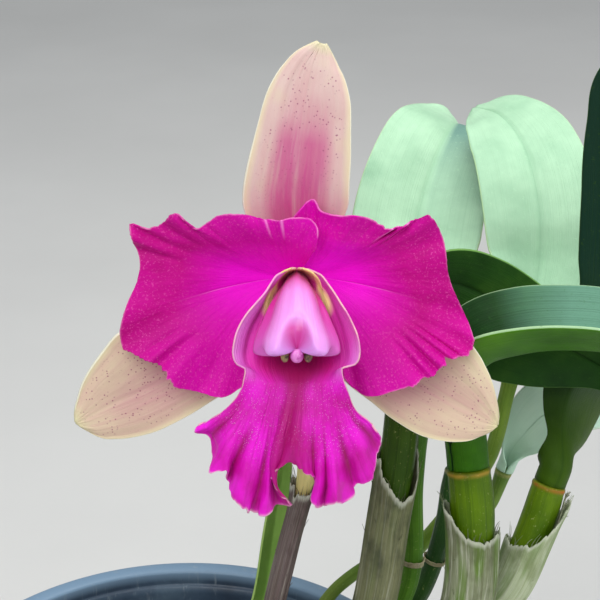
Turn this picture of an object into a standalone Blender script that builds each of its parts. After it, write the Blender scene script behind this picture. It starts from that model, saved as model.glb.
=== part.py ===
"""A potted cattleya orchid in flower: pot, bark, creeping growths, leaves, sheaths and one bloom.

Lengths are written in millimetres and angles in degrees; MM turns a length into metres.
The origin is the middle of the pot's underside, +Z is up, and the bloom looks towards -Y.
"""
import math

import bmesh
import bpy
from mathutils import Vector, noise

MM = 0.001
GAP = 0.3

# Pot: a tapered plastic pot with a flat-topped collar and drainage holes
POT_HEIGHT = 165.0
POT_RIM_RADIUS = 93.2
POT_RIM_WIDTH = 6.8
POT_COLLAR_HEIGHT = 14.0
POT_BASE_RADIUS = 66.0
POT_WALL = 2.2
POT_FLOOR = 3.0
POT_STEPS = 36
DRAIN_COUNT = 6
DRAIN_RADIUS = 5.0
DRAIN_CIRCLE = 46.0

# Bark: coarse chips, their tops this far up the pot
BARK_TOP = 141.0
BARK_RELIEF = 2.8
BARK_CHIP = 17.0
BARK_RINGS = 8

# Bloom: its centre, and how far its face is raised above the horizontal
BLOOM_CENTRE = (42.3, -5.0, 330.0)
BLOOM_RAISED = 10.0
PETAL_THICKNESS = 1.0
SEPAL_THICKNESS = 1.1
LIP_THICKNESS = 0.9
LEAF_THICKNESS = 1.8
SHEATH_THICKNESS = 0.7

# Bases of the bloom's parts along its axis, from back to front
OVARY_FRONT = -9.3
SEPAL_BASE = -8.2
RIGHT_PETAL_BASE = -6.8
LEFT_PETAL_BASE = -5.5
COLUMN_BACK = -4.1

PETAL_CLAW = 0.05
PETAL_RISE = 1.6
RIM_SOFTENING = 0.07

LEFT_PETAL_ROOT = (-1.0, 2.0, LEFT_PETAL_BASE)
LEFT_PETAL_RIM = [
    (5.5, 13.0, 6.5), (6.0, 20.0, 8.0), (3.8, 22.6, 8.0), (-2.0, 23.2, 8.0), (-6.0, 22.2, 7.5),
    (-10.5, 22.6, 6.0), (-16.0, 24.2, 6.0), (-23.5, 23.2, 6.0), (-27.0, 20.6, 5.0), (-30.0, 19.4, 5.0),
    (-32.5, 21.5, 5.0), (-36.0, 24.2, 5.0), (-39.0, 21.0, 4.0), (-44.0, 18.9, 2.5), (-49.6, 19.6, 0.0),
    (-49.0, 15.0, 0.0), (-47.1, 8.0, 0.0), (-48.0, 2.0, 0.0), (-51.0, -4.5, 1.0), (-53.4, -13.5, 1.0),
    (-52.3, -18.8, 2.0), (-47.5, -20.3, 4.0), (-41.5, -22.6, 6.0), (-36.8, -28.5, 6.0),
    (-28.0, -31.6, 6.0), (-21.5, -32.2, 6.0), (-18.6, -30.8, 5.5),
]
RIGHT_PETAL_ROOT = (1.0, 2.0, RIGHT_PETAL_BASE)
RIGHT_PETAL_RIM = [
    (-3.0, 19.0, 2.0), (0.0, 23.6, 3.0), (4.6, 27.6, 2.5), (7.2, 24.2, 4.0), (12.5, 23.0, 6.0),
    (17.5, 23.5, 6.0), (22.0, 21.8, 5.5), (26.5, 19.2, 5.0), (31.5, 19.8, 4.0), (36.0, 21.8, 3.0),
    (39.0, 22.6, 2.0), (41.8, 19.0, 1.0), (44.0, 13.5, 0.0), (45.4, 4.0, 0.0), (48.0, -3.0, 0.0),
    (52.0, -11.5, 1.0), (53.6, -18.0, 1.5), (50.0, -20.6, 3.5), (45.5, -20.6, 4.5), (43.0, -24.0, 5.0),
    (38.0, -27.2, 5.5), (30.0, -30.4, 6.0), (21.5, -32.6, 6.0), (17.0, -31.0, 5.5),
]
PETAL_CROWN = 2.2
PETAL_RUFFLE = 0.9
PETAL_WAVES = 11

DORSAL_MIDLINE = [(0, 2.6, SEPAL_BASE), (0, 14, -7.2), (-0.3, 27, -5.5), (1.4, 41, -4.6), (3.1, 54, -4.4),
                  (4.9, 65, -5.0), (7.2, 72.2, -6.4)]
DORSAL_WIDTHS = [(0, 2.5), (0.09, 7.0), (0.2, 13.0), (0.34, 16.2), (0.5, 15.4), (0.65, 14.0), (0.76, 12.8),
                 (0.85, 10.4), (0.93, 6.6), (0.975, 3.4), (1, 1.3)]
LEFT_SEPAL_MIDLINE = [(-2.2, -1.5, SEPAL_BASE), (-14, -13.5, -8.0), (-30, -25.0, -7.2), (-46, -33.5, -6.2),
                      (-60, -39.5, -4.6), (-70.2, -44.6, -3.0)]
LEFT_SEPAL_WIDTHS = [(0, 2.1), (0.1, 6.4), (0.22, 11.5), (0.36, 14.8), (0.52, 15.8), (0.68, 14.8),
                     (0.82, 11.6), (0.92, 7.2), (0.98, 3.0), (1, 1.3)]
RIGHT_SEPAL_MIDLINE = [(2.2, -1.5, SEPAL_BASE), (13, -13.5, -8.0), (27, -26.0, -7.2), (41, -34.5, -6.2),
                       (53, -40.5, -5.0), (63.6, -45.6, -3.4)]
RIGHT_SEPAL_WIDTHS = [(0, 2.1), (0.1, 6.4), (0.22, 11.5), (0.36, 14.6), (0.52, 15.8), (0.68, 15.0),
                      (0.82, 12.2), (0.92, 8.0), (0.98, 3.4), (1, 1.3)]
SEPAL_FOLD = [(0, 4.0), (0.3, 12.0), (0.8, 10.0), (1, 4.0)]

# Lip tube, from its base to the waist: height and depth of the midrib, lean of the section,
# radius of the section, and the half-turn that it makes round the column
LIP_TUBE = [
    (-3.0, -2.9, 0, 4.7, 148), (-4.2, 3.5, 5, 6.0, 158), (-5.4, 6.5, 12, 7.2, 163),
    (-8.2, 8.5, 18, 8.8, 130), (-11.8, 11.0, 28, 11.0, 101), (-16.0, 15.0, 40, 16.0, 72),
    (-19.8, 19.0, 52, 24.0, 48), (-23.0, 22.0, 60, 28.0, 31),
]
LIP_LOBE_RIM = [
    (-28.2, -34.6, 24.5), (-29.0, -36.3, 23.5),
    (-25.5, -38.8, 24.5), (-24.2, -42.5, 25.5), (-25.0, -47.5, 26.5), (-20.8, -47.6, 29.0),
    (-20.4, -51.5, 28.0), (-16.5, -57.5, 26.5), (-13.4, -62.3, 25.0), (-9.0, -62.3, 25.0),
    (-6.4, -59.8, 25.4), (-5.0, -56.0, 26.8), (-3.9, -52.0, 29.0), (-3.3, -48.2, 29.0),
    (-1.6, -45.6, 29.0), (0.8, -45.9, 29.0), (3.0, -49.0, 28.5), (4.2, -54.0, 27.0),
    (5.6, -59.4, 26.0), (8.8, -61.0, 26.0), (10.8, -57.0, 26.0), (15.4, -57.8, 25.5),
    (17.7, -53.4, 25.0), (21.6, -51.8, 24.0), (23.2, -46.0, 24.0), (24.8, -40.5, 24.0),
    (23.2, -36.5, 24.5),
]
LIP_TUBE_SHARE = 0.52
LIP_LOBE_CROWN = 3.2
LIP_RUFFLE = 0.9
LIP_WAVES = 10

# Column: points along its middle, half-width, height of its back and depth of its underside
COLUMN_LINE = [(0, 1.4, COLUMN_BACK), (0, 1.6, 2.0), (0, 0.9, 9.0), (0, -2.6, 16.5), (0, -7.6, 22.5),
               (0, -11.4, 25.8)]
COLUMN_SECTIONS = [(0, 2.7, 2.7, 2.6), (0.2, 3.2, 3.0, 2.6), (0.45, 4.6, 3.6, 2.4), (0.7, 7.4, 4.8, 2.4),
                   (0.9, 9.8, 5.6, 2.8), (1, 8.6, 4.6, 2.4)]
ANTHER_CENTRE = (0, -13.0, 27.3)
ANTHER_RADII = (2.4, 1.9, 1.7)
POLLEN_SIDES = (-3.9, 3.7)
POLLEN_CENTRE = (0, -12.6, 26.8)
POLLEN_RADII = (1.2, 1.1, 1.0)

# Growths: points along each creeping and then rising stem, and its radius along the way
GROWTHS = {
    "growth_flowering": (
        [(6, -6, 147.9), (15, -1, 148.1), (21, 2.5, 150.0), (25.5, 4, 163), (29.5, 6, 182), (34.7, 10, 206),
         (40, 15, 228), (45.2, 20, 248.5), (47.2, 22.2, 262)],
        [(0, 4.0), (0.08, 4.6), (0.15, 4.2), (0.25, 2.4), (0.82, 2.3), (0.92, 3.6), (1, 6.3)], 18),
    "growth_left": (
        [(30, -3, 143.6), (42, -5, 143.8), (50, -5.5, 149), (54.5, -4.5, 162), (58.5, -2.5, 178),
         (63, -0.5, 194), (68.3, 2, 212), (72.5, 8, 240), (75.9, 14.5, 266.5), (77, 20, 284)],
        [(0, 4.0), (0.1, 5.0), (0.18, 5.0), (0.3, 4.6), (0.6, 5.8), (0.9, 5.8), (1, 5.4)], 18),
    "growth_middle": (
        [(57.5, -13, 143.4), (65, -14.5, 143.9), (71, -13.5, 152.8), (76, -11.5, 166), (83, -8.5, 179),
         (92, -4.5, 196), (99.2, 0, 213.3), (100.2, 7, 240), (98.4, 12.2, 258.5)],
        [(0, 4.0), (0.1, 5.2), (0.2, 5.6), (0.35, 5.4), (0.65, 7.2), (0.9, 7.3), (1, 6.9)], 18),
    "growth_right": (
        [(60, 13, 148.0), (66, 18, 148.4), (71.5, 20, 155), (77, 21.5, 166), (86, 22.5, 179),
         (100, 23, 191), (114, 23, 200), (124, 28, 221.4), (129.8, 33, 239.5)],
        [(0, 3.8), (0.1, 4.6), (0.22, 4.6), (0.4, 5.0), (0.7, 6.0), (0.93, 6.0), (1, 5.5)], 18),
    "growth_slim": (
        [(43, 7, 146.5), (46, 17, 146.7), (49.5, 24, 150.8), (55, 27, 165), (66, 25.5, 180), (78, 24, 194),
         (82.5, 26, 210), (82.2, 31, 237.6), (84.5, 44, 262)],
        [(0, 3.2), (0.1, 3.8), (0.2, 3.8), (0.4, 3.2), (0.9, 3.6), (1, 4.4)], 17),
    "growth_back": (
        [(47, 31, 146.5), (51, 41, 146.7), (56, 48, 151.7), (64, 51, 167), (76, 51.5, 185), (91, 51, 206),
         (104, 51, 226), (111, 50.5, 240), (115.8, 54, 262), (119, 59, 275)],
        [(0, 3.0), (0.1, 3.4), (0.2, 3.2), (0.4, 2.7), (0.9, 2.7), (1, 3.6)], 17),
    "growth_old": (
        [(57, 27, 145.1), (61, 31.5, 145.8), (65, 34.5, 154.3), (70, 36.5, 165), (78, 38, 175),
         (88, 38, 192), (94.6, 39.5, 219), (96.6, 42, 240)],
        [(0, 2.8), (0.1, 3.4), (0.2, 3.4), (0.4, 3.2), (0.9, 3.4), (1, 2.2)], 14),
    "growth_far": (
        [(38, 49, 143.0), (42, 56, 144.0), (46, 60, 153.2), (50.5, 62, 164), (59, 66.5, 173), (76, 69, 185),
         (98, 67, 198), (112.0, 65, 207), (118.8, 66, 225)],
        [(0, 2.8), (0.1, 3.0), (0.25, 2.4), (0.9, 2.5), (1, 3.2)], 15),
}

# Leaves: the growth that carries each, points along its midrib after the seat, half-width, fold of
# the blade at the middle and the tip, and the way its upper side faces at the base and further on
LEAVES = {
    "leaf_middle": (
        "growth_middle", [(98.4, 15.6, 281), (102.5, 14.6, 294.3), (114, 13.6, 299.2), (126, 12.6, 301.2),
                          (141, 10.5, 301.2), (158, 7, 298), (173, 2.5, 289), (184, -2, 276)],
        25.0, 51.0, 34.0, (-1.0, -0.7, 0.25), (0.05, 0, 1.0)),
    "leaf_left": (
        "growth_left", [(79, 30, 296), (83.5, 39, 303.5), (92.5, 45.5, 308.5), (104, 46.5, 304.5),
                        (117, 44.5, 296.5), (131, 40, 289), (145, 35.5, 282), (158, 31, 274)],
        14.5, 14.0, 12.0, (0.6, -0.8, 0.2), (0.1, -1.0, 0.05)),
    "leaf_right": (
        "growth_right", [(133.5, 41, 257), (135.5, 44, 268), (142, 46, 281), (149, 47.5, 295),
                         (153.5, 48.5, 311), (154.5, 49.5, 331), (153.5, 50, 352), (152.5, 50, 374),
                         (152.5, 50, 395)],
        22.5, 26.0, 42.0, (-0.2, 1.0, -0.2), (-0.1, 1.0, 0.1)),
    "leaf_slim": (
        "growth_slim", [(85.2, 54, 274), (85, 68, 284), (84.6, 86, 291.5), (85.5, 105, 297.5),
                        (90, 127, 308), (96.5, 147, 317.5), (103, 166, 321.5), (108, 186, 317),
                        (112, 202, 305)],
        25.5, 17.0, 9.0, (0, -1.0, 0.2), (0, -0.7, 0.7)),
    "leaf_back": (
        "growth_back", [(123.5, 69, 284.5), (127.5, 79, 291), (129.6, 87, 299.5), (129.8, 94, 312.5),
                        (128, 107, 325.5), (125, 124, 332.5), (119, 141, 336), (112, 158, 333)],
        21.5, 13.0, 9.0, (0.3, -1.0, 0.4), (0, -0.7, 0.7)),
    "leaf_far": (
        "growth_far", [(125, 69.5, 236.5), (133, 73.5, 243), (146, 78, 246.5), (160, 83, 244.5), (173, 87, 238)],
        14.0, 24.0, 14.0, (0, -1.0, 0.3), (0, -0.7, 0.7)),
    "leaf_flowering": (
        "growth_flowering", [(48.2, 27.5, 274), (47, 37, 291), (45.2, 51, 309), (44, 69, 323),
                             (43.2, 90, 331), (43, 111, 331), (43, 130, 323), (43, 146, 309)],
        16.5, 28.0, 14.0, (0, -1.0, 0.15), (0, -0.3, 1.0)),
}
LEAF_SHAPE = [(0, 0.27), (0.04, 0.28), (0.13, 0.56), (0.25, 0.88), (0.42, 1.0), (0.68, 0.93), (0.84, 0.7),
              (0.94, 0.44), (1, 0.14)]
BASE_FOLD = 56.0
KEEL_ROUNDING = 0.16
BASE_FOLD_SHARE = 0.22
FACING_SHARE = 0.32
LEAF_SEAT = 0.4
LEAF_NECK = 6.0
KEEL_SETBACK = 3.0
YOUNG_LEAF_LINE = [(15, 20, 141.1), (20, 21, 166), (29.9, 22, 197.6), (34, 24, 225), (37.4, 26.5, 248.7),
                   (38.2, 29.5, 270)]
YOUNG_LEAF_WIDTHS = [(0, 3.6), (0.3, 5.0), (0.7, 4.4), (0.9, 2.8), (1, 0.9)]
YOUNG_LEAF_FOLD = 38.0

# Sheaths: the growth each one wraps, where it begins and ends along it, how far its mouth dips (or
# rises, if negative) and on which side, measured from the front, and how loosely it fits
SHEATHS = {
    "sheath_left": ("growth_left", 0.26, 0.86, 0.09, -5.0, 0.8),
    "sheath_middle": ("growth_middle", 0.28, 0.82, -0.10, -95.0, 0.8),
    "sheath_right": ("growth_right", 0.28, 0.80, -0.16, 80.0, 1.3),
    "sheath_flowering": ("growth_flowering", 0.22, 0.88, 0.03, 0.0, 0.7),
}

PEDICEL_FOOT = (46.8, 20.1, 262.75)
PEDICEL_LINE = [(47.4, 21.5, 275), (48.8, 25.5, 292), (48.4, 25.0, 310), (45.0, 15.5, 324)]
PEDICEL_RADII = [(0, 1.7), (0.5, 1.8), (0.8, 2.6), (0.93, 3.0), (1, 3.2)]

# Roots: points along each, from its growth over the bark
ROOTS = {
    "root_front": [(36, -14, 146.3), (32, -24, 146.1), (24, -36, 145.7), (20, -52, 145.4), (8, -66, 145.2)],
    "root_left": [(0, -11, 145.8), (-12, -14, 145.4), (-26, -8, 145.1), (-42, -12, 144.8),
                  (-58, -4, 144.6)],
    "root_back": [(35, 13, 145.9), (28, 24, 145.7), (20, 42, 145.4), (4, 56, 145.1), (-8, 70, 144.9)],
    "root_side": [(53, -22, 143.9), (51, -32, 143.6), (56, -44, 143.2), (50, -58, 142.9)],
}
ROOT_RADII = [(0, 1.9), (0.7, 1.7), (0.95, 1.3), (1, 0.7)]


def clear_scene():
    for thing in list(bpy.data.objects):
        bpy.data.objects.remove(thing)


def new_collection(name):
    group = bpy.data.collections.new(name)
    bpy.context.scene.collection.children.link(group)
    return group


def look(name, colour, roughness):
    material = bpy.data.materials.new(name)
    material.use_nodes = True
    shader = material.node_tree.nodes["Principled BSDF"]
    shader.inputs["Base Color"].default_value = (*colour, 1.0)
    shader.inputs["Roughness"].default_value = roughness
    shader.inputs["Metallic"].default_value = 0.0
    material.diffuse_color = (*colour, 1.0)
    return material


def put(name, data, group, material=None, parent=None):
    thing = bpy.data.objects.new(name, data)
    group.objects.link(thing)
    if material:
        data.materials.append(material)
    thing.parent = parent
    return thing


def hermite(x, width, start, end, slope_in, slope_out):
    """A cubic between two values with the given slopes, at the share x of the way."""
    square, cube = x * x, x * x * x
    return (start * (2 * cube - 3 * square + 1) + slope_in * (width * (cube - 2 * square + x))
            + end * (3 * square - 2 * cube) + slope_out * (width * (cube - square)))


def span_of(knots, x):
    """The span of the knots that holds x, and the share of the span that lies before x."""
    last = len(knots) - 2
    index = 0
    while index < last and x > knots[index + 1]:
        index += 1
    width = knots[index + 1] - knots[index]
    return index, width, (x - knots[index]) / width


def curve_through(points):
    """A smooth curve through the points, as a function of the share of its length."""
    stops = [Vector(point) for point in points]
    knots = [0.0]
    for before, after in zip(stops, stops[1:]):
        knots.append(knots[-1] + (after - before).length)
    knots = [knot / knots[-1] for knot in knots]
    slopes = []
    for index in range(len(stops)):
        low, high = max(index - 1, 0), min(index + 1, len(stops) - 1)
        slopes.append((stops[high] - stops[low]) / (knots[high] - knots[low]))

    def at(share):
        index, width, x = span_of(knots, min(max(share, 0.0), 1.0))
        return hermite(x, width, stops[index], stops[index + 1], slopes[index], slopes[index + 1])
    return at


def graph(pairs):
    """A smooth graph through the (place, value) pairs that never overshoots them."""
    knots = [pair[0] for pair in pairs]
    values = [pair[1] for pair in pairs]
    rises = [(values[i + 1] - values[i]) / (knots[i + 1] - knots[i]) for i in range(len(pairs) - 1)]
    slopes = [rises[0]]
    for left, right in zip(rises, rises[1:]):
        slopes.append(2 * left * right / (left + right) if left * right > 0 else 0.0)
    slopes.append(rises[-1])

    def at(x):
        index, width, share = span_of(knots, min(max(x, knots[0]), knots[-1]))
        return hermite(share, width, values[index], values[index + 1], slopes[index], slopes[index + 1])
    return at


def heading(path, share, step=0.004):
    """The unit direction of a path."""
    return (path(min(share + step, 1.0)) - path(max(share - step, 0.0))).normalized()


def sheet(name, shape, rows, columns, thickness, group, material, parent=None, closed=False):
    """A thin body: a grid moved onto shape(along, across), both sides split alike, then thickened."""
    mesh = bpy.data.meshes.new(name)
    grid = bmesh.new()
    bmesh.ops.create_grid(grid, x_segments=columns, y_segments=rows, size=1.0)
    for corner in grid.verts:
        corner.co = shape((corner.co.y + 1) / 2, corner.co.x) * MM
    if closed:
        bmesh.ops.remove_doubles(grid, verts=grid.verts, dist=0.01 * MM)
    bmesh.ops.triangulate(grid, faces=grid.faces, quad_method="BEAUTY")
    grid.to_mesh(mesh)
    grid.free()
    mesh.shade_smooth()
    thing = put(name, mesh, group, material, parent)
    solid = thing.modifiers.new("thickness", "SOLIDIFY")
    solid.thickness = thickness * MM
    solid.offset = 0.0
    return thing


def turned_facing(first, last):
    """The way a blade faces: from the first direction to the last over the blade's lower part."""
    def facing(along):
        share = min(1.0, along / FACING_SHARE)
        return Vector(first).lerp(Vector(last), share * share * (3 - 2 * share))
    return facing


def blade(path, width, folds, facing):
    """The surface of a leaf or sepal: halves that rise from a rounded midrib by the fold angle."""
    def shape(along, across):
        way = heading(path, along)
        side = way.cross(facing(along)).normalized()
        up = side.cross(way)
        fold = math.radians(folds(along))
        rise = math.hypot(across, KEEL_ROUNDING) - KEEL_ROUNDING
        return (path(along) + side * (across * width(along) * math.cos(fold))
                + up * (rise * width(along) * math.sin(fold)))
    return shape


def stem(name, path, radii, count, group, material):
    """A round stem of changing radius along a smooth path."""
    curve = bpy.data.curves.new(name, "CURVE")
    curve.dimensions = "3D"
    curve.bevel_depth = MM
    curve.bevel_resolution = 2
    curve.use_fill_caps = True
    line = curve.splines.new("POLY")
    line.points.add(count - 1)
    for index, point in enumerate(line.points):
        share = index / (count - 1)
        point.co = (*(path(share) * MM), 1.0)
        point.radius = radii(share)
    return put(name, curve, group, material)


def sheath(name, path, radii, plan, group, material):
    """A papery tube round a stem, its mouth lower or drawn up on one side."""
    _, start, end, dip, side, slack = plan
    clearance = slack + SHEATH_THICKNESS / 2

    def shape(along, across):
        turn = math.pi * across
        notch = (0.5 + 0.5 * math.cos(turn - math.radians(side))) ** 3
        share = start + (end - dip * notch - start) * along
        way = heading(path, share)
        right = way.cross(Vector((0, -1, 0))).normalized()
        front = right.cross(way)
        radius = radii(share) * 1.03 + clearance
        return path(share) + (right * math.sin(turn) + front * math.cos(turn)) * radius
    return sheet(name, shape, 7, 12, SHEATH_THICKNESS, group, material, closed=True)


def pot(group, cutters, material):
    inner = POT_RIM_RADIUS - POT_RIM_WIDTH
    collar = POT_HEIGHT - POT_COLLAR_HEIGHT
    profile = [
        (0, POT_FLOOR), (POT_BASE_RADIUS - 4, POT_FLOOR), (POT_BASE_RADIUS - 1.5, POT_FLOOR + 2.5),
        (inner - 2.2, collar), (inner - 1.4, POT_HEIGHT - 6.5), (inner - 0.2, POT_HEIGHT - 6.3),
        (inner, POT_HEIGHT - 1.2), (inner + 1.2, POT_HEIGHT), (POT_RIM_RADIUS - 1.2, POT_HEIGHT),
        (POT_RIM_RADIUS, POT_HEIGHT - 1.2), (POT_RIM_RADIUS + 0.2, collar),
        (inner + POT_WALL - 1.6, collar - 1.5),
        (POT_BASE_RADIUS + 0.6, 1.2), (POT_BASE_RADIUS - 0.6, 0), (0, 0),
    ]
    mesh = bpy.data.meshes.new("pot")
    outline = bmesh.new()
    corners = [outline.verts.new((radius * MM, 0, height * MM)) for radius, height in profile]
    for before, after in zip(corners, corners[1:]):
        outline.edges.new((before, after))
    outline.to_mesh(mesh)
    outline.free()
    thing = put("pot", mesh, group, material)
    turned = thing.modifiers.new("turned", "SCREW")
    turned.steps = POT_STEPS
    turned.render_steps = POT_STEPS
    turned.use_merge_vertices = True
    turned.merge_threshold = 0.01 * MM
    turned.use_smooth_shade = True
    for number in range(DRAIN_COUNT):
        turn = 2 * math.pi * number / DRAIN_COUNT
        drain(number, DRAIN_CIRCLE * math.cos(turn), DRAIN_CIRCLE * math.sin(turn), cutters)
    holes = thing.modifiers.new("drainage", "BOOLEAN")
    holes.operation = "DIFFERENCE"
    holes.operand_type = "COLLECTION"
    holes.collection = cutters
    return thing


def drain(number, x, y, cutters):
    mesh = bpy.data.meshes.new(f"drain_{number}")
    plug = bmesh.new()
    bmesh.ops.create_cone(plug, cap_ends=True, segments=10, radius1=DRAIN_RADIUS * MM,
                          radius2=DRAIN_RADIUS * MM, depth=4 * POT_FLOOR * MM)
    plug.to_mesh(mesh)
    plug.free()
    cutter = put(f"drain_{number}", mesh, cutters)
    cutter.location = (x * MM, y * MM, 0)
    cutter.hide_render = True
    cutter.display_type = "WIRE"


def pot_inside(height):
    """Radius of the pot's inner wall."""
    low, high = POT_FLOOR + 2.5, POT_HEIGHT - POT_COLLAR_HEIGHT
    base, top = POT_BASE_RADIUS - 1.5, POT_RIM_RADIUS - POT_RIM_WIDTH - 2.2
    return base + (top - base) * (height - low) / (high - low)


def bark_height(x, y):
    """Height of the chips: each cell of the pattern is one tilted chip."""
    _, centres = noise.voronoi(Vector((x, y, 0)) / BARK_CHIP)
    centre = centres[0]
    lift = noise.cell(centre * 7.3)
    tilt_x = noise.cell(centre * 3.1 + Vector((5, 0, 0))) - 0.5
    tilt_y = noise.cell(centre * 3.1 + Vector((0, 5, 0))) - 0.5
    away = Vector((x, y, 0)) / BARK_CHIP - centre
    slope = 2 * (tilt_x * away.x + tilt_y * away.y)
    return BARK_TOP + BARK_RELIEF * max(-1.0, min(1.0, 2 * lift - 1 + slope))


def bark(group, material):
    """The filling of the pot: side and underside follow the pot, the top is chips."""
    low = POT_FLOOR + 2.5
    edge = pot_inside(BARK_TOP) - 2 * GAP
    profile = [(edge * ring / BARK_RINGS, BARK_TOP) for ring in range(BARK_RINGS + 1)]
    profile += [(pot_inside(low) - 2 * GAP, low), (0, low)]
    rings = POT_STEPS
    mesh = bpy.data.meshes.new("bark")
    turned = bmesh.new()
    corners = [turned.verts.new((radius, 0, height)) for radius, height in profile]
    edges = [turned.edges.new(pair) for pair in zip(corners, corners[1:])]
    bmesh.ops.spin(turned, geom=corners + edges, cent=(0, 0, 0), axis=(0, 0, 1),
                   angle=2 * math.pi, steps=rings, use_merge=True)
    bmesh.ops.remove_doubles(turned, verts=turned.verts, dist=0.01)
    for corner in turned.verts:
        flat = math.hypot(corner.co.x, corner.co.y)
        if corner.co.z > BARK_TOP - 1:
            inside = min(1.0, (edge - flat) / 3.0)
            corner.co.z = BARK_TOP + (bark_height(corner.co.x, corner.co.y) - BARK_TOP) * inside
        corner.co *= MM
    bmesh.ops.triangulate(turned, faces=turned.faces)
    bmesh.ops.recalc_face_normals(turned, faces=turned.faces)
    turned.to_mesh(mesh)
    turned.free()
    return put("bark", mesh, group, material)


def softened(curve, place):
    """The curve with its small teeth averaged out."""
    offsets = [RIM_SOFTENING * step / 3 for step in range(-3, 4)]
    total = Vector((0, 0, 0))
    for offset in offsets:
        total += curve(min(max(place + offset, 0.0), 1.0))
    return total / len(offsets)


def petal(root, rim, turn):
    """A petal spread like a fan from its root to its ragged rim, crowned and ruffled."""
    base = Vector(root)
    edge = curve_through(rim)

    def shape(along, across):
        place = (across + 1) / 2
        reach = PETAL_CLAW + (1 - PETAL_CLAW) * along
        goal = softened(edge, place).lerp(edge(place), reach ** 3)
        flat = base.lerp(goal, reach)
        flat.z = base.z + (goal.z - base.z) * reach ** PETAL_RISE
        crown = PETAL_CROWN * math.sin(math.pi * reach) * reach
        ruffle = PETAL_RUFFLE * along ** 4 * math.sin(2 * math.pi * PETAL_WAVES * place + turn)
        return flat + Vector((0, 0, crown + ruffle))
    return shape


def lip_tube():
    """The part of the lip that wraps the column, as a function of the way along and across."""
    last = len(LIP_TUBE) - 1
    rows = [graph([(index / last, row[item]) for index, row in enumerate(LIP_TUBE)]) for item in range(5)]

    def shape(along, across):
        height, depth, lean, radius, turn = [row(along) for row in rows]
        angle = math.radians(turn) * across
        up = Vector((0, math.cos(math.radians(lean)), math.sin(math.radians(lean))))
        middle = Vector((radius * math.sin(angle), height, depth))
        return middle + up * (radius * (1 - math.cos(angle)))
    return shape


def lip():
    tube = lip_tube()
    rim = curve_through(LIP_LOBE_RIM)

    def shape(along, across):
        if along < LIP_TUBE_SHARE:
            return tube(along / LIP_TUBE_SHARE, across)
        reach = (along - LIP_TUBE_SHARE) / (1 - LIP_TUBE_SHARE)
        place = (across + 1) / 2
        goal = softened(rim, place).lerp(rim(place), reach ** 3)
        flat = tube(1.0, across).lerp(goal, reach)
        crown = LIP_LOBE_CROWN * math.sin(math.pi * reach) * (1 - across * across)
        ruffle = LIP_RUFFLE * reach ** 2 * math.sin(2 * math.pi * LIP_WAVES * place)
        return flat + Vector((0, 0, crown + ruffle))
    return shape


def column_shape():
    line = curve_through(COLUMN_LINE)
    width, back, under = [graph([(row[0], row[item]) for row in COLUMN_SECTIONS]) for item in (1, 2, 3)]

    def shape(along, across):
        way = heading(line, along)
        up = Vector((1, 0, 0)).cross(way).normalized() * -1
        turn = math.pi * across
        tall = back(along) if math.sin(turn) > 0 else under(along)
        sideways = Vector((1, 0, 0)) * (width(along) * math.cos(turn))
        return line(along) + sideways + up * (tall * math.sin(turn))
    return shape


def column(group, material, parent):
    shape = column_shape()
    mesh = bpy.data.meshes.new("column")
    body = bmesh.new()
    bmesh.ops.create_grid(body, x_segments=14, y_segments=9, size=1.0)
    for corner in body.verts:
        corner.co = shape((corner.co.y + 1) / 2, corner.co.x) * MM
    bmesh.ops.remove_doubles(body, verts=body.verts, dist=0.01 * MM)
    bmesh.ops.holes_fill(body, edges=[edge for edge in body.edges if edge.is_boundary])
    bmesh.ops.recalc_face_normals(body, faces=body.faces)
    body.to_mesh(mesh)
    body.free()
    mesh.shade_smooth()
    return put("column", mesh, group, material, parent)


def bead(name, centre, radii, group, material, parent):
    """A small rounded body."""
    mesh = bpy.data.meshes.new(name)
    ball = bmesh.new()
    bmesh.ops.create_uvsphere(ball, u_segments=10, v_segments=7, radius=1.0)
    for corner in ball.verts:
        stretched = Vector([corner.co[axis] * radii[axis] for axis in range(3)])
        corner.co = (stretched + Vector(centre)) * MM
    ball.to_mesh(mesh)
    ball.free()
    mesh.shade_smooth()
    return put(name, mesh, group, material, parent)


def bloom_head(group):
    """The frame of the bloom: X to its right as seen, Y up its face, Z out towards the viewer."""
    head = bpy.data.objects.new("bloom_head", None)
    group.objects.link(head)
    head.location = Vector(BLOOM_CENTRE) * MM
    head.rotation_euler = (math.radians(90 - BLOOM_RAISED), 0, 0)
    return head


def bloom_point(point):
    """A point of the bloom's frame in the plant's frame."""
    raised = math.radians(BLOOM_RAISED)
    x, y, z = point
    return Vector(BLOOM_CENTRE) + Vector((
        x, y * math.sin(raised) - z * math.cos(raised), y * math.cos(raised) + z * math.sin(raised)))


def sepals(group, material, head):
    facing = turned_facing((0, 0, 1), (0, 0, 1))
    folds = graph(SEPAL_FOLD)
    plans = {
        "sepal_dorsal": (DORSAL_MIDLINE, DORSAL_WIDTHS),
        "sepal_left": (LEFT_SEPAL_MIDLINE, LEFT_SEPAL_WIDTHS),
        "sepal_right": (RIGHT_SEPAL_MIDLINE, RIGHT_SEPAL_WIDTHS),
    }
    for name, (midline, widths) in plans.items():
        shape = blade(curve_through(midline), graph(widths), folds, facing)
        sheet(name, shape, 12, 6, SEPAL_THICKNESS, group, material, head)


def petals(group, material, head):
    left = petal(LEFT_PETAL_ROOT, LEFT_PETAL_RIM, 0.0)
    sheet("petal_left", left, 7, 38, PETAL_THICKNESS, group, material, head)
    right = petal(RIGHT_PETAL_ROOT, RIGHT_PETAL_RIM, 1.0)
    sheet("petal_right", right, 7, 38, PETAL_THICKNESS, group, material, head)


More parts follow.
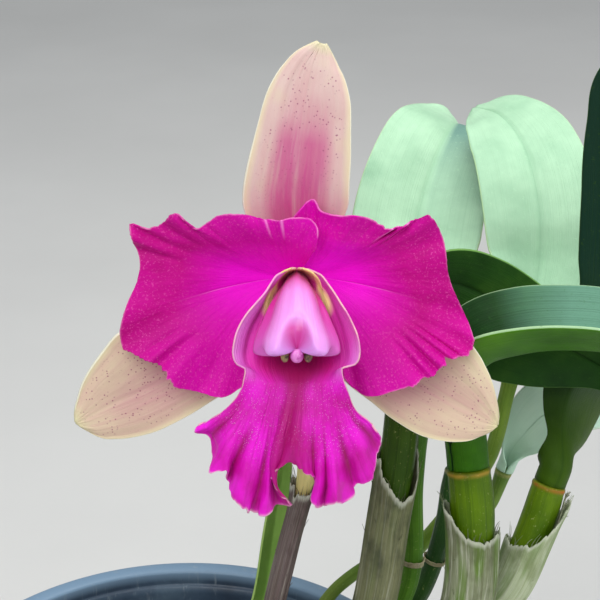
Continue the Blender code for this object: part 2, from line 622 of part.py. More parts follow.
def flower_centre(group, head):
    sheet("lip", lip(), 13, 38, LIP_THICKNESS, group, look("lip_magenta", (0.42, 0.02, 0.2), 0.5), head)
    column(group, look("column_pink", (0.9, 0.55, 0.8), 0.4), head)
    bead("anther_cap", ANTHER_CENTRE, ANTHER_RADII, group, look("anther", (0.8, 0.3, 0.6), 0.4), head)
    pollen = look("pollen", (0.12, 0.1, 0.03), 0.5)
    for name, side in zip(("pollinium_left", "pollinium_right"), POLLEN_SIDES):
        centre = Vector(POLLEN_CENTRE) + Vector((side, 0, 0))
        bead(name, centre, POLLEN_RADII, group, pollen, head)


def flower_stalk(group):
    """The stalk with the ovary at its end."""
    back = [bloom_point((0, 0.4, OVARY_FRONT - 7)), bloom_point((0, 0, OVARY_FRONT))]
    path = curve_through([PEDICEL_FOOT] + PEDICEL_LINE + back)
    stem("ovary_stalk", path, graph(PEDICEL_RADII), 18, group, look("stalk_green", (0.35, 0.42, 0.15), 0.5))


def growths(group):
    green = look("cane_green", (0.12, 0.2, 0.03), 0.45)
    for name, (points, radii, count) in GROWTHS.items():
        stem(name, curve_through(points), graph(radii), count, group, green)


def leaves(group):
    green = look("leaf_green", (0.12, 0.3, 0.12), 0.4)
    outline = graph(LEAF_SHAPE)
    for name, (growth, points, width, fold, tip_fold, first, last) in LEAVES.items():
        carrier = curve_through(GROWTHS[growth][0])
        way = heading(carrier, 1.0)
        side = way.cross(Vector(first)).normalized()
        seat = carrier(1.0) + way * LEAF_SEAT - side.cross(way) * KEEL_SETBACK
        easing = 0.3 * BASE_FOLD + 0.7 * fold
        folds = graph([(0, BASE_FOLD), (BASE_FOLD_SHARE, easing), (0.5, fold), (1, tip_fold)])
        path = curve_through([seat, seat + way * LEAF_NECK] + points)
        shape = blade(path, scaled(outline, width), folds, turned_facing(first, last))
        sheet(name, shape, 13, 6, LEAF_THICKNESS, group, green)
    folds = graph([(0, YOUNG_LEAF_FOLD), (1, YOUNG_LEAF_FOLD)])
    young = blade(curve_through(YOUNG_LEAF_LINE), graph(YOUNG_LEAF_WIDTHS), folds,
                  turned_facing((0.2, -1.0, 0), (0.1, -1.0, 0.2)))
    sheet("young_leaf", young, 12, 4, LEAF_THICKNESS / 2, group, green)


def scaled(outline, width):
    return lambda share: outline(share) * width


def sheaths(group):
    papery = look("papery_sheath", (0.45, 0.43, 0.3), 0.8)
    for name, plan in SHEATHS.items():
        points, radii, _ = GROWTHS[plan[0]]
        sheath(name, curve_through(points), graph(radii), plan, group, papery)


def roots(group):
    white = look("root_white", (0.6, 0.6, 0.5), 0.8)
    for name, points in ROOTS.items():
        stem(name, curve_through(points), graph(ROOT_RADII), 12, group, white)


def main():
    clear_scene()
    group = new_collection("cattleya_orchid")
    cutters = new_collection("cutters")
    pot(group, cutters, look("pot_plastic", (0.05, 0.09, 0.14), 0.45))
    bark(group, look("bark_chips", (0.12, 0.06, 0.03), 0.95))
    growths(group)
    sheaths(group)
    leaves(group)
    roots(group)
    head = bloom_head(group)
    sepals(group, look("sepal_cream", (0.7, 0.5, 0.45), 0.5), head)
    petals(group, look("petal_magenta", (0.55, 0.02, 0.3), 0.5), head)
    flower_centre(group, head)
    flower_stalk(group)


main()
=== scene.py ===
"""Looks of the potted cattleya orchid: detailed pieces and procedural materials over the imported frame.

Lengths are written in millimetres and angles in degrees; MM turns a length into metres.
"""
import functools
import math

import bmesh
import bpy
import numpy as np
from mathutils import Matrix, Vector


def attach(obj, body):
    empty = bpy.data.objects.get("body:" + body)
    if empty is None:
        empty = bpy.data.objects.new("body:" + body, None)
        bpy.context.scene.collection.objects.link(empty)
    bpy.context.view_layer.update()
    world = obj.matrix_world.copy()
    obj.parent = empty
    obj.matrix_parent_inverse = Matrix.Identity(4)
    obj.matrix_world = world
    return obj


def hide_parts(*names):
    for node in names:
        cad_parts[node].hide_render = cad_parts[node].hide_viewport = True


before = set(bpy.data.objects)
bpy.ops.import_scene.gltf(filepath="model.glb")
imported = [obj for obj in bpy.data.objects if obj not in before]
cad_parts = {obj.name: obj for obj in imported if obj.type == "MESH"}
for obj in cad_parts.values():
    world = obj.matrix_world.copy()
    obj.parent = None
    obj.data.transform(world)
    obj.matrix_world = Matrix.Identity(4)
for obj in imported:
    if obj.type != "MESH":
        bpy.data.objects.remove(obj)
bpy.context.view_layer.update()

MM = 0.001

# Pot: a tapered plastic pot with a flat-topped collar and drainage holes
POT_HEIGHT = 165.0
POT_RIM_RADIUS = 93.2
POT_RIM_WIDTH = 6.8
POT_COLLAR_HEIGHT = 14.0
POT_BASE_RADIUS = 66.0
POT_FLOOR = 3.0
DRAIN_COUNT = 6
DRAIN_RADIUS = 5.0
DRAIN_CIRCLE = 46.0
POT_SIDES = 160

# Bark: how far up the pot the chips reach, how many there are, how long they are and how far under that
# level, their margin to the wall, their bevel, and the turn from one to the next round the pot
BARK_TOP = 141.0
CHIP_COUNT = 430
CHIP_LENGTH = (10, 19)
CHIP_LIFT = (-5.5, -0.8)
CHIP_MARGIN = 8
CHIP_BEVEL = 0.7
CHIP_SEED = 5
GOLDEN_ANGLE = 2.39996

# Bloom: its centre, and how far its face is raised above the horizontal
BLOOM_CENTRE = (42.3, -5.0, 330.0)
BLOOM_RAISED = 10.0

# Bases of the bloom's parts along its axis, from back to front
OVARY_FRONT = -9.3
SEPAL_BASE = -8.2
RIGHT_PETAL_BASE = -6.8
LEFT_PETAL_BASE = -5.5
COLUMN_BACK = -4.1

# Petals: the share where they leave the column, how late they rise, and how far the teeth of their rims
# are smoothed out inwards
PETAL_CLAW = 0.05
PETAL_RISE = 1.6
RIM_SOFTENING = 0.07

LEFT_PETAL_ROOT = (-1.0, 2.0, LEFT_PETAL_BASE)
LEFT_PETAL_RIM = [
    (5.5, 13.0, 6.5), (6.0, 20.0, 8.0), (3.8, 22.6, 8.0), (-2.0, 23.2, 8.0), (-6.0, 22.2, 7.5),
    (-10.5, 22.6, 6.0), (-16.0, 24.2, 6.0), (-23.5, 23.2, 6.0), (-27.0, 20.6, 5.0), (-30.0, 19.4, 5.0),
    (-32.5, 21.5, 5.0), (-36.0, 24.2, 5.0), (-39.0, 21.0, 4.0), (-44.0, 18.9, 2.5), (-49.6, 19.6, 0.0),
    (-49.0, 15.0, 0.0), (-47.1, 8.0, 0.0), (-48.0, 2.0, 0.0), (-51.0, -4.5, 1.0), (-53.4, -13.5, 1.0),
    (-52.3, -18.8, 2.0), (-47.5, -20.3, 4.0), (-41.5, -22.6, 6.0), (-36.8, -28.5, 6.0), (-28.0, -31.6, 6.0),
    (-21.5, -32.2, 6.0), (-14.6, -28.4, 5.5),
]
RIGHT_PETAL_ROOT = (1.0, 2.0, RIGHT_PETAL_BASE)
RIGHT_PETAL_RIM = [
    (-3.0, 19.0, 2.0), (0.0, 23.6, 3.0), (4.6, 27.6, 2.5), (7.2, 24.2, 4.0), (12.5, 23.0, 6.0),
    (17.5, 23.5, 6.0), (22.0, 21.8, 5.5), (26.5, 19.2, 5.0), (31.5, 19.8, 4.0), (36.0, 21.8, 3.0),
    (39.0, 22.6, 2.0), (41.8, 19.0, 1.0), (44.0, 13.5, 0.0), (45.4, 4.0, 0.0), (48.0, -3.0, 0.0),
    (52.0, -11.5, 1.0), (53.6, -18.0, 1.5), (50.0, -20.6, 3.5), (45.5, -20.6, 4.5), (43.0, -24.0, 5.0),
    (38.0, -27.2, 5.5), (30.0, -30.4, 6.0), (21.5, -32.2, 6.0), (17.4, -30.4, 5.5), (14.0, -26.4, 5.0),
]
# Petals: thickness and depth of the midrib's groove, how far they swell, and the waves round their rims
PETAL_THICKNESS = 0.5
VEIN_DEPTH = 0.3
PETAL_CROWN = 2.2
PETAL_RUFFLE = 0.54
PETAL_WAVES = 11
# Nicks in the rims: depth and number
RIM_NICKS = [(0.011, 120), (0.008, 300)]
# Ripples: height, where along the petal they set in and are full, and how many lie across and along it
PETAL_RIPPLES = [
    (1.1, 0.15, 0.8, 5, 3.4), (0.16, 0.25, 0.9, 26, 4.0), (0.25, 0.8, 1.0, 60, 2.0),
    (0.06, 0.1, 0.5, 130, 9.0),
]
# Pleats at a petal's rim: place along the rim, half-width and height
LEFT_PLEATS = [
    (0.03, 0.02, 1.0), (0.125, 0.007, 0.8), (0.143, 0.011, -1.2), (0.162, 0.007, 0.8), (0.21, 0.03, 0.8),
    (0.282, 0.008, -0.7), (0.305, 0.007, -0.6), (0.33, 0.012, 0.6), (0.362, 0.014, 1.2),
    (0.39, 0.014, -1.8), (0.43, 0.018, 0.7), (0.478, 0.018, 1.6), (0.505, 0.014, -1.2), (0.56, 0.03, -0.8),
    (0.64, 0.04, 1.0), (0.752, 0.009, -0.7), (0.776, 0.008, 0.9), (0.8, 0.012, -1.3), (0.832, 0.016, 0.8),
    (0.9, 0.02, -0.6),
]
RIGHT_PLEATS = [
    (0.05, 0.02, 1.4), (0.13, 0.014, -0.8), (0.16, 0.008, -0.7), (0.19, 0.016, 0.8), (0.235, 0.008, -0.6),
    (0.272, 0.007, 0.6), (0.287, 0.009, -1.5), (0.302, 0.006, 0.7), (0.318, 0.007, -1.0),
    (0.334, 0.006, -0.5), (0.366, 0.016, 1.6), (0.42, 0.02, -0.8), (0.5, 0.04, 0.8), (0.6, 0.04, -0.8),
    (0.695, 0.008, 0.9), (0.71, 0.006, -0.9), (0.724, 0.007, 1.1), (0.739, 0.007, -1.2),
    (0.755, 0.008, 1.3), (0.771, 0.007, -1.2), (0.787, 0.007, 1.0), (0.803, 0.008, -0.8), (0.86, 0.03, 0.5),
    (0.95, 0.03, -0.8),
]
# Where a petal's rim is toothed: place along the rim and share of the full teeth
LEFT_TEETH = [
    (0, 0.3), (0.3, 0.3), (0.34, 0.7), (0.48, 0.7), (0.5, 0.1), (0.7, 0.1), (0.74, 1.0), (0.84, 1.0),
    (0.87, 0.15), (1, 0.15),
]
RIGHT_TEETH = [
    (0, 0.2), (0.22, 0.2), (0.26, 1.2), (0.36, 0.8), (0.4, 0.1), (0.64, 0.1), (0.68, 1.1), (0.82, 0.9),
    (0.86, 0.15), (1, 0.15),
]
# Each petal's root, rim, pleats and teeth, the phase of its waves, its seed, where its midrib and its
# painted crease highlights meet the rim, and whether it carries the painted highlight on its crown
PETALS = {
    "petal_left": (LEFT_PETAL_ROOT, LEFT_PETAL_RIM, LEFT_PLEATS, LEFT_TEETH, 0.0, 11, (-53.1, -9.3),
                   [(-9.6, 20.1), (-3.9, 20.4)], False),
    "petal_right": (RIGHT_PETAL_ROOT, RIGHT_PETAL_RIM, RIGHT_PLEATS, RIGHT_TEETH, 1.0, 21, (50.5, -7.8),
                    [(28.2, 16.5), (30.6, 16.2), (34.2, 17.8)], True),
}

# Sepals: thickness, points along their midlines, half-widths, and the fold of their halves
SEPAL_THICKNESS = 0.9
DORSAL_MIDLINE = [
    (0, 2.6, SEPAL_BASE), (0, 14, -7.2), (-0.3, 27, -5.5), (1.4, 41, -4.6), (3.1, 54, -4.4),
    (4.9, 65, -5.0), (7.2, 72.2, -6.4),
]
DORSAL_WIDTHS = [
    (0, 2.5), (0.09, 7.0), (0.2, 13.0), (0.34, 16.2), (0.5, 15.4), (0.65, 14.0), (0.76, 12.8), (0.85, 10.4),
    (0.93, 6.6), (0.975, 3.4), (1, 1.3),
]
LEFT_SEPAL_MIDLINE = [
    (-2.2, -1.5, SEPAL_BASE), (-14, -13.5, -8.0), (-30, -25.0, -7.2), (-46, -33.5, -6.2),
    (-60, -39.5, -4.6), (-70.2, -44.6, -3.0),
]
LEFT_SEPAL_WIDTHS = [
    (0, 2.1), (0.1, 6.4), (0.22, 11.5), (0.36, 14.8), (0.52, 15.8), (0.68, 14.8), (0.82, 11.6), (0.92, 7.2),
    (0.98, 3.0), (1, 1.3),
]
RIGHT_SEPAL_MIDLINE = [
    (2.2, -1.5, SEPAL_BASE), (13, -13.5, -8.0), (27, -26.0, -7.2), (41, -34.5, -6.2), (53, -40.5, -5.0),
    (63.6, -45.6, -3.4),
]
RIGHT_SEPAL_WIDTHS = [
    (0, 2.1), (0.1, 6.4), (0.22, 11.5), (0.36, 14.6), (0.52, 15.8), (0.68, 15.0), (0.82, 12.2), (0.92, 8.0),
    (0.98, 3.4), (1, 1.3),
]
SEPAL_FOLD = [(0, 4.0), (0.3, 12.0), (0.8, 10.0), (1, 4.0)]
EVEN_HALF = [(0, 1.0), (1, 1.0)]
# How far along its midline a lateral sepal reaches before it rounds off
LATERAL_REACH = 0.975
# Shares of a sepal's half width along it, at its two sides
SEPAL_HALVES = {
    "sepal_left": ([(0, 0.9), (0.4, 0.86), (0.5, 0.83), (0.6, 0.87), (0.7, 0.93), (0.8, 1.02), (0.9, 1.15),
                    (0.95, 1.3), (1, 1.6)],
                   [(0, 1.0), (0.4, 1.0), (0.5, 1.12), (0.6, 1.27), (0.7, 1.38), (0.8, 1.3), (0.9, 1.13),
                    (0.95, 1.0), (1, 1.3)]),
    "sepal_right": ([(0, 1.0), (0.4, 1.05), (0.5, 1.18), (0.6, 1.32), (0.7, 1.4), (0.8, 1.35), (0.85, 1.25),
                     (0.9, 1.14), (0.95, 1.0), (1, 1.2)],
                    [(0, 0.9), (0.4, 0.82), (0.5, 0.78), (0.6, 0.85), (0.7, 0.92), (0.8, 0.98), (0.9, 1.0),
                     (0.95, 1.0), (1, 1.3)]),
}
# Each sepal's midline, half-widths and seed
SEPALS = {
    "sepal_dorsal": (DORSAL_MIDLINE, DORSAL_WIDTHS, 31),
    "sepal_left": (LEFT_SEPAL_MIDLINE, LEFT_SEPAL_WIDTHS, 33),
    "sepal_right": (RIGHT_SEPAL_MIDLINE, RIGHT_SEPAL_WIDTHS, 35),
}

# Lip tube, from its base to the waist: height and depth of the midrib, lean of the section,
# radius of the section, and the half-turn that it makes round the column
LIP_TUBE = [
    (-3.0, -2.9, 0, 4.7, 148), (-4.2, 3.5, 5, 6.0, 158), (-5.4, 6.5, 12, 7.2, 163),
    (-8.2, 8.5, 18, 8.8, 130), (-11.8, 11.0, 28, 11.0, 101), (-16.0, 15.0, 40, 16.0, 72),
    (-19.8, 19.0, 52, 24.0, 48), (-23.0, 22.0, 60, 28.0, 31),
]
# Lip: thickness, seed, the tube's share of its length, how far the lobes swell, and the waves, ripples,
# nicks and tucks round their rim
LIP_THICKNESS = 0.5
LIP_SEED = 41
LIP_TUBE_SHARE = 0.52
LIP_LOBE_CROWN = 3.2
LIP_RUFFLE = 0.36
LIP_WAVES = 10
LIP_RIPPLES = [(0.9, 0.6, 1.0, 40, 1.6), (0.5, 0.8, 1.0, 90, 2.5), (0.14, 0.05, 0.4, 90, 5)]
LIP_NICKS = [(0.012, 110)]
LIP_TUCKS = [(1.0, 62), (0.8, 48)]
# Rim of the two lobes, from the left end of the waist round to the right
LIP_RIM = [
    (-28.2, -34.6, 24.5), (-29.8, -37.0, 23.0), (-26.0, -39.2, 24.5), (-24.6, -43.5, 25.5),
    (-25.2, -47.8, 26.0), (-21.0, -47.8, 28.6), (-20.6, -51.8, 28.0), (-17.0, -57.5, 26.5),
    (-13.4, -62.0, 25.0), (-8.0, -62.2, 25.0), (-2.4, -58.3, 25.4), (-5.6, -55.0, 26.8),
    (-7.2, -50.2, 29.0), (-5.2, -46.4, 29.0), (-2.2, -44.8, 29.0), (0.8, -46.2, 29.0), (4.0, -49.5, 28.5),
    (5.2, -54.0, 27.0), (5.4, -59.4, 26.0), (8.8, -61.0, 26.0), (11.0, -57.4, 26.0), (15.4, -57.8, 25.5),
    (17.7, -53.4, 25.0), (21.6, -51.4, 24.0), (23.2, -46.0, 24.0), (24.8, -40.5, 24.0), (23.2, -36.5, 24.5),
]
# Free margin of the lip: share of its length, then how far left and right, its height and depth
LIP_MARGIN = [
    (0.18, 0.2, 0.2, 8.4, 6.0), (0.21, 3.3, 4.4, 7.6, 9.0), (0.235, 5.8, 7.0, 6.8, 11.0),
    (0.255, 7.6, 9.0, 4.7, 13.0), (0.275, 9.2, 10.8, 2.6, 15.0), (0.305, 12.0, 12.8, -0.2, 17.0),
    (0.33, 14.4, 14.6, -2.6, 19.0), (0.36, 16.4, 16.2, -5.5, 20.5), (0.385, 17.6, 17.4, -8.1, 22.0),
    (0.41, 18.2, 18.0, -10.6, 23.0), (0.43, 18.5, 18.2, -12.9, 23.6), (0.445, 18.2, 17.9, -14.9, 24.0),
    (0.457, 17.3, 16.8, -16.5, 24.0), (0.468, 15.8, 14.0, -17.3, 23.8), (0.48, 15.1, 13.1, -17.8, 23.8),
    (0.5, 15.0, 13.1, -18.7, 24.0), (0.54, 15.4, 13.5, -20.8, 24.6), (0.58, 15.8, 14.2, -22.8, 25.0),
    (0.63, 17.0, 15.1, -25.3, 25.0), (0.68, 19.1, 16.1, -28.0, 25.0), (0.75, 22.0, 17.7, -30.7, 25.0),
    (0.83, 24.9, 20.1, -32.6, 25.0), (0.9, 26.7, 21.7, -34.2, 24.8),
]
# Folds of the two lower lobes: place along the rim, half-width and height
LIP_PLEATS = [
    (0.075, 0.035, -2.6), (0.15, 0.03, 1.6), (0.205, 0.028, -2.8), (0.265, 0.03, 2.4), (0.315, 0.02, -1.8),
    (0.345, 0.016, 1.6), (0.378, 0.016, -2.0), (0.43, 0.03, 1.2), (0.65, 0.03, -1.2), (0.695, 0.02, 1.8),
    (0.73, 0.016, -2.4), (0.765, 0.02, 2.2), (0.82, 0.03, -2.6), (0.88, 0.03, 1.8), (0.94, 0.035, -2.2),
]

# Column: points along its middle, half-width, height of its back and depth of its underside
COLUMN_LINE = [
    (0, 1.4, COLUMN_BACK), (0, 1.6, 2.0), (0, 0.9, 9.0), (0, -2.6, 16.5), (0, -7.6, 22.5), (0, -11.4, 25.8),
]
COLUMN_SECTIONS = [
    (0, 2.7, 2.7, 2.6), (0.2, 3.2, 3.0, 2.6), (0.45, 4.6, 3.6, 2.4), (0.7, 7.4, 4.8, 2.4),
    (0.9, 9.8, 5.6, 2.8), (1, 8.6, 4.6, 2.4),
]
# Wings of the column: share of its length, then how far they stand out at each side
COLUMN_WINGS = [
    (0.0, 0.2), (0.2, 0.6), (0.4, 1.1), (0.6, 2.1), (0.8, 2.9), (0.9, 2.7), (0.97, 1.8), (1.0, 0.6),
]
# The anther's cap and the pollinia at its sides: centres, radii and the depth of their grooves
ANTHER_CENTRE = (0, -13.0, 27.3)
ANTHER_RADII = (1.9, 2.0, 1.7)
ANTHER_GROOVE = 0.16
POLLEN_CENTRES = {"pollinium_left": (-3.432, -13.2, 26.8), "pollinium_right": (3.256, -13.2, 26.8)}
POLLEN_RADII = (1.2, 1.8, 1.0)
POLLEN_GROOVE = 0.3

# Growths: points along each creeping and then rising stem, and its radius along the way
GROWTHS = {
    "growth_flowering": (
        [(6, -6, 147.9), (15, -1, 148.1), (21, 2.5, 150.0), (25.5, 4, 163), (29.5, 6, 182), (34.7, 10, 206),
         (40, 15, 228), (45.2, 20, 248.5), (47.2, 22.2, 262)],
        [(0, 4.0), (0.08, 4.6), (0.15, 4.2), (0.25, 2.4), (0.82, 2.3), (0.92, 3.6), (1, 6.3)]),
    "growth_left": (
        [(30, -3, 143.6), (42, -5, 143.8), (50, -5.5, 149), (54.5, -4.5, 162), (58.5, -2.5, 178),
         (63, -0.5, 194), (68.3, 2, 212), (72.5, 8, 240), (75.9, 14.5, 266.5), (77, 20, 284)],
        [(0, 4.0), (0.1, 5.0), (0.18, 5.0), (0.3, 4.6), (0.6, 5.8), (0.9, 5.8), (1, 5.4)]),
    "growth_middle": (
        [(57.5, -13, 143.4), (65, -14.5, 143.9), (71, -13.5, 152.8), (76, -11.5, 166), (83, -8.5, 179),
         (92, -4.5, 196), (99.2, 0, 213.3), (100.2, 7, 240), (98.4, 12.2, 258.5)],
        [(0, 4.0), (0.1, 5.2), (0.2, 5.6), (0.35, 5.4), (0.65, 7.2), (0.9, 7.3), (1, 6.9)]),
    "growth_right": (
        [(60, 13, 148.0), (66, 18, 148.4), (71.5, 20, 155), (77, 21.5, 166), (86, 22.5, 179),
         (100, 23, 191), (114, 23, 200), (124, 28, 221.4), (129.8, 33, 239.5)],
        [(0, 3.8), (0.1, 4.6), (0.22, 4.6), (0.4, 5.0), (0.7, 6.0), (0.93, 6.0), (1, 5.5)]),
    "growth_slim": (
        [(43, 7, 146.5), (46, 17, 146.7), (49.5, 24, 150.8), (55, 27, 165), (66, 25.5, 180), (78, 24, 194),
         (82.5, 26, 210), (82.2, 31, 237.6), (84.5, 44, 262)],
        [(0, 3.2), (0.1, 3.8), (0.2, 3.8), (0.4, 3.2), (0.9, 3.6), (1, 4.4)]),
    "growth_back": (
        [(47, 31, 146.5), (51, 41, 146.7), (56, 48, 151.7), (64, 51, 167), (76, 51.5, 185), (91, 51, 206),
         (104, 51, 226), (111, 50.5, 240), (115.8, 54, 262), (119, 59, 275)],
        [(0, 3.0), (0.1, 3.4), (0.2, 3.2), (0.4, 2.7), (0.9, 2.7), (1, 3.6)]),
    "growth_old": (
        [(57, 27, 145.1), (61, 31.5, 145.8), (65, 34.5, 154.3), (70, 36.5, 165), (78, 38, 175),
         (88, 38, 192), (94.6, 39.5, 219), (96.6, 42, 240)],
        [(0, 2.8), (0.1, 3.4), (0.2, 3.4), (0.4, 3.2), (0.9, 3.4), (1, 2.2)]),
    "growth_far": (
        [(38, 49, 143.0), (42, 56, 144.0), (46, 60, 153.2), (50.5, 62, 164), (59, 66.5, 173), (76, 69, 185),
         (98, 67, 198), (112.0, 65, 207), (118.8, 66, 225)],
        [(0, 2.8), (0.1, 3.0), (0.25, 2.4), (0.9, 2.5), (1, 3.2)]),
}

# Leaves: the growth that carries each, points along its midrib after the seat, half-width, fold of
# the blade at the middle and the tip, and the way its upper side faces at the base and further on
LEAVES = {
    "leaf_middle": (
        "growth_middle", [(98.4, 15.6, 281), (102.5, 14.6, 294.3), (114, 13.6, 299.2), (126, 12.6, 301.2),
                          (141, 10.5, 301.2), (158, 7, 298), (173, 2.5, 289), (184, -2, 276)],
        25.0, 51.0, 34.0, (-1.0, -0.7, 0.25), (0.05, 0, 1.0)),
    "leaf_left": (
        "growth_left", [(79, 30, 296), (83.5, 39, 303.5), (92.5, 45.5, 308.5), (104, 46.5, 304.5),
                        (117, 44.5, 296.5), (131, 40, 289), (145, 35.5, 282), (158, 31, 274)],
        14.5, 14.0, 12.0, (0.6, -0.8, 0.2), (0.1, -1.0, 0.05)),
    "leaf_right": (
        "growth_right", [(133.5, 41, 257), (135.5, 44, 268), (142, 46, 281), (149, 47.5, 295),
                         (153.5, 48.5, 311), (154.5, 49.5, 331), (153.5, 50, 352), (152.5, 50, 374),
                         (152.5, 50, 395)],
        22.5, 26.0, 42.0, (-0.2, 1.0, -0.2), (-0.1, 1.0, 0.1)),
    "leaf_slim": (
        "growth_slim", [(85.2, 54, 274), (85, 68, 284), (84.6, 86, 291.5), (85.5, 105, 297.5),
                        (90, 127, 308), (96.5, 147, 317.5), (103, 166, 321.5), (108, 186, 317),
                        (112, 202, 305)],
        25.5, 17.0, 9.0, (0, -1.0, 0.2), (0, -0.7, 0.7)),
    "leaf_back": (
        "growth_back", [(123.5, 69, 284.5), (127.5, 79, 291), (129.6, 87, 299.5), (129.8, 94, 312.5),
                        (128, 107, 325.5), (125, 124, 332.5), (119, 141, 336), (112, 158, 333)],
        21.5, 13.0, 9.0, (0.3, -1.0, 0.4), (0, -0.7, 0.7)),
    "leaf_far": (
        "growth_far", [(125, 69.5, 236.5), (133, 73.5, 243), (146, 78, 246.5), (160, 83, 244.5),
                       (173, 87, 238)],
        14.0, 24.0, 14.0, (0, -1.0, 0.3), (0, -0.7, 0.7)),
    "leaf_flowering": (
        "growth_flowering", [(48.2, 27.5, 274), (47, 37, 291), (45.2, 51, 309), (44, 69, 323),
                             (43.2, 90, 331), (43, 111, 331), (43, 130, 323), (43, 146, 309)],
        16.5, 28.0, 14.0, (0, -1.0, 0.15), (0, -0.3, 1.0)),
}
# Leaves: share of the half-width along one, the fold at its base and how far up it reaches, the
# rounding of its keel and how far up it turns to its own way; then its foot's gap over the cane, straight
# neck, keel behind the cane's middle, grip round the cane and overlap, and the blade's thickness
LEAF_SHAPE = [
    (0, 0.27), (0.04, 0.28), (0.13, 0.56), (0.25, 0.88), (0.42, 1.0), (0.68, 0.93), (0.84, 0.7),
    (0.94, 0.44), (1, 0.14),
]
BASE_FOLD = 56.0
KEEL_ROUNDING = 0.16
BASE_FOLD_SHARE = 0.22
FACING_SHARE = 0.32
LEAF_SEAT = 0.4
LEAF_NECK = 6.0
KEEL_SETBACK = 3.0
LEAF_GRIP = 0.94
FOOT_OVERLAP = 1.2
LEAF_THICKNESS = 0.85
# Colours of a leaf's side: pale, middle and deep green, margin, and roughness; then the colour that it
# drifts to along the leaf, and the colour, place across and place along of a painted shade
# PALE's whitish greens are a painted sky reflection on the upper sides of the leaves
PALE = ((196, 238, 200), (178, 220, 184), (150, 196, 160), (208, 240, 180), 0.45)
# SHADED adds a painted shade of steel blue on one half of the leaf towards its tip
SHADED = (*PALE, None, ((104, 146, 136), ((0.5, 0.0), (0.56, 1.0), (0.8, 0.9), (1.0, 0.75)),
                        ((0.4, 0.0), (0.62, 0.35), (0.76, 0.9), (0.9, 1.0))))
OLIVE = ((58, 84, 22), (42, 68, 12), (26, 50, 6), (120, 164, 64), 0.42)
STRAP = ((160, 200, 104), (138, 182, 86), (110, 152, 66), (176, 206, 120), 0.45)
UNDER = ((84, 142, 12), (60, 116, 6), (34, 82, 2), (150, 206, 90), 0.42)
DARK = ((60, 104, 30), (34, 76, 20), (14, 48, 12), (128, 180, 92), 0.4)
# BLUISH drifts to a pale blue green towards the tip, a painted sky reflection
BLUISH = ((56, 108, 44), (28, 72, 26), (12, 44, 14), (186, 222, 170), 0.4,
          ((108, 158, 134), ((0.34, 0.0), (0.5, 0.85), (0.8, 1.0))))
SLATE = ((66, 98, 10), (52, 82, 6), (34, 64, 2), (110, 150, 90), 0.42,
         ((20, 52, 38), ((0.13, 0.0), (0.26, 0.85), (0.5, 1.0))))
# Painted light: near-white greens that light up the far leaf where it lies in shade
PAINTED_LIGHT_GREENS = ((224, 250, 230), (208, 240, 218), (186, 224, 200), (226, 244, 220), 0.45)
# Each leaf's upper side, underside and seed
LEAF_SIDES = {
    "leaf_middle": (BLUISH, UNDER, 51),
    "leaf_left": (DARK, OLIVE, 53),
    "leaf_right": (DARK, SLATE, 55),
    "leaf_slim": (SHADED, OLIVE, 57),
    "leaf_back": (PALE, OLIVE, 59),
    "leaf_far": (PAINTED_LIGHT_GREENS, PAINTED_LIGHT_GREENS, 60),
    "leaf_flowering": (PALE, OLIVE, 61),
}
# How far up a leaf its base stays rolled shut, and where it is fully open
USUAL_ROLL = (0.0, 0.26)
LEAF_ROLLS = {"leaf_middle": (0.07, 0.26), "leaf_slim": (0.03, 0.26), "leaf_back": (0.03, 0.26),
              "leaf_right": (0.01, 0.18)}
# Shares of a leaf's half width along it: the half at its left, then the half at its right
LEAF_HALVES = {
    "leaf_left": (EVEN_HALF, [(0, 1.0), (0.25, 1.1), (0.4, 1.45), (0.5, 1.65), (0.6, 1.65), (0.7, 1.42),
                              (0.8, 1.1), (0.9, 0.85), (1, 1.0)]),
    "leaf_right": ([(0, 1.0), (0.05, 0.8), (0.08, 1.6), (0.1, 2.2), (0.16, 2.0), (0.24, 1.6), (0.36, 1.2),
                    (0.5, 1.0), (1, 1.0)],
                   [(0, 1.0), (0.07, 0.6), (0.1, 0.45), (0.15, 0.53), (0.3, 0.6), (0.4, 0.65), (0.5, 0.83),
                    (0.6, 0.9), (0.7, 0.95), (0.8, 1.08), (0.9, 1.3), (1, 1.0)]),
}
# The young leaf: points along it, half-widths, fold and thickness
YOUNG_LEAF_LINE = [
    (15, 20, 141.1), (20, 21, 166), (29.9, 22, 197.6), (34, 24, 225), (37.4, 26.5, 248.7),
    (38.2, 29.5, 270),
]
YOUNG_LEAF_WIDTHS = [(0, 3.6), (0.3, 5.0), (0.7, 4.4), (0.9, 2.8), (1, 0.9)]
YOUNG_LEAF_FOLD = 38.0
YOUNG_LEAF_THICKNESS = 0.9

# Each growth's bright and deep green, the ring under its leaf, and the shares of its other rings
CANES = {
    # The flowering growth's real beige is painted paler still, as light where the flower shades it
    "growth_flowering": ((238, 222, 150), (204, 188, 120), (190, 184, 130), (0.5, 0.72)),
    "growth_left": ((56, 86, 6), (30, 56, 2), (96, 104, 40), (0.42, 0.62)),
    "growth_middle": ((88, 120, 2), (52, 84, 0), (176, 140, 50), (0.4, 0.6)),
    "growth_right": ((116, 148, 12), (70, 102, 4), (186, 96, 44), (0.42, 0.62)),
    "growth_slim": ((98, 150, 40), (52, 98, 26), (180, 186, 110), (0.45, 0.62)),
    "growth_back": ((146, 180, 70), (104, 142, 44), (170, 160, 90), (0.44, 0.66)),
    "growth_old": ((64, 106, 46), (36, 70, 30), (196, 190, 140), (0.45, 0.66)),
    "growth_far": ((128, 158, 62), (80, 116, 40), (180, 170, 110), (0.5, 0.75)),
}
# Canes: the share of the top ring, the swelling and half-width of a ring, the count and height of ribs
TOP_RING = 0.983
RING_SWELL = 0.05
RING_WIDTH = 0.006
RIB_COUNT = 11
RIB_HEIGHT = 0.018
# Growths with dry scars left on their rings
SCARRED = ("growth_slim", "growth_old", "growth_right")
SCAR_THICKNESS = 0.35

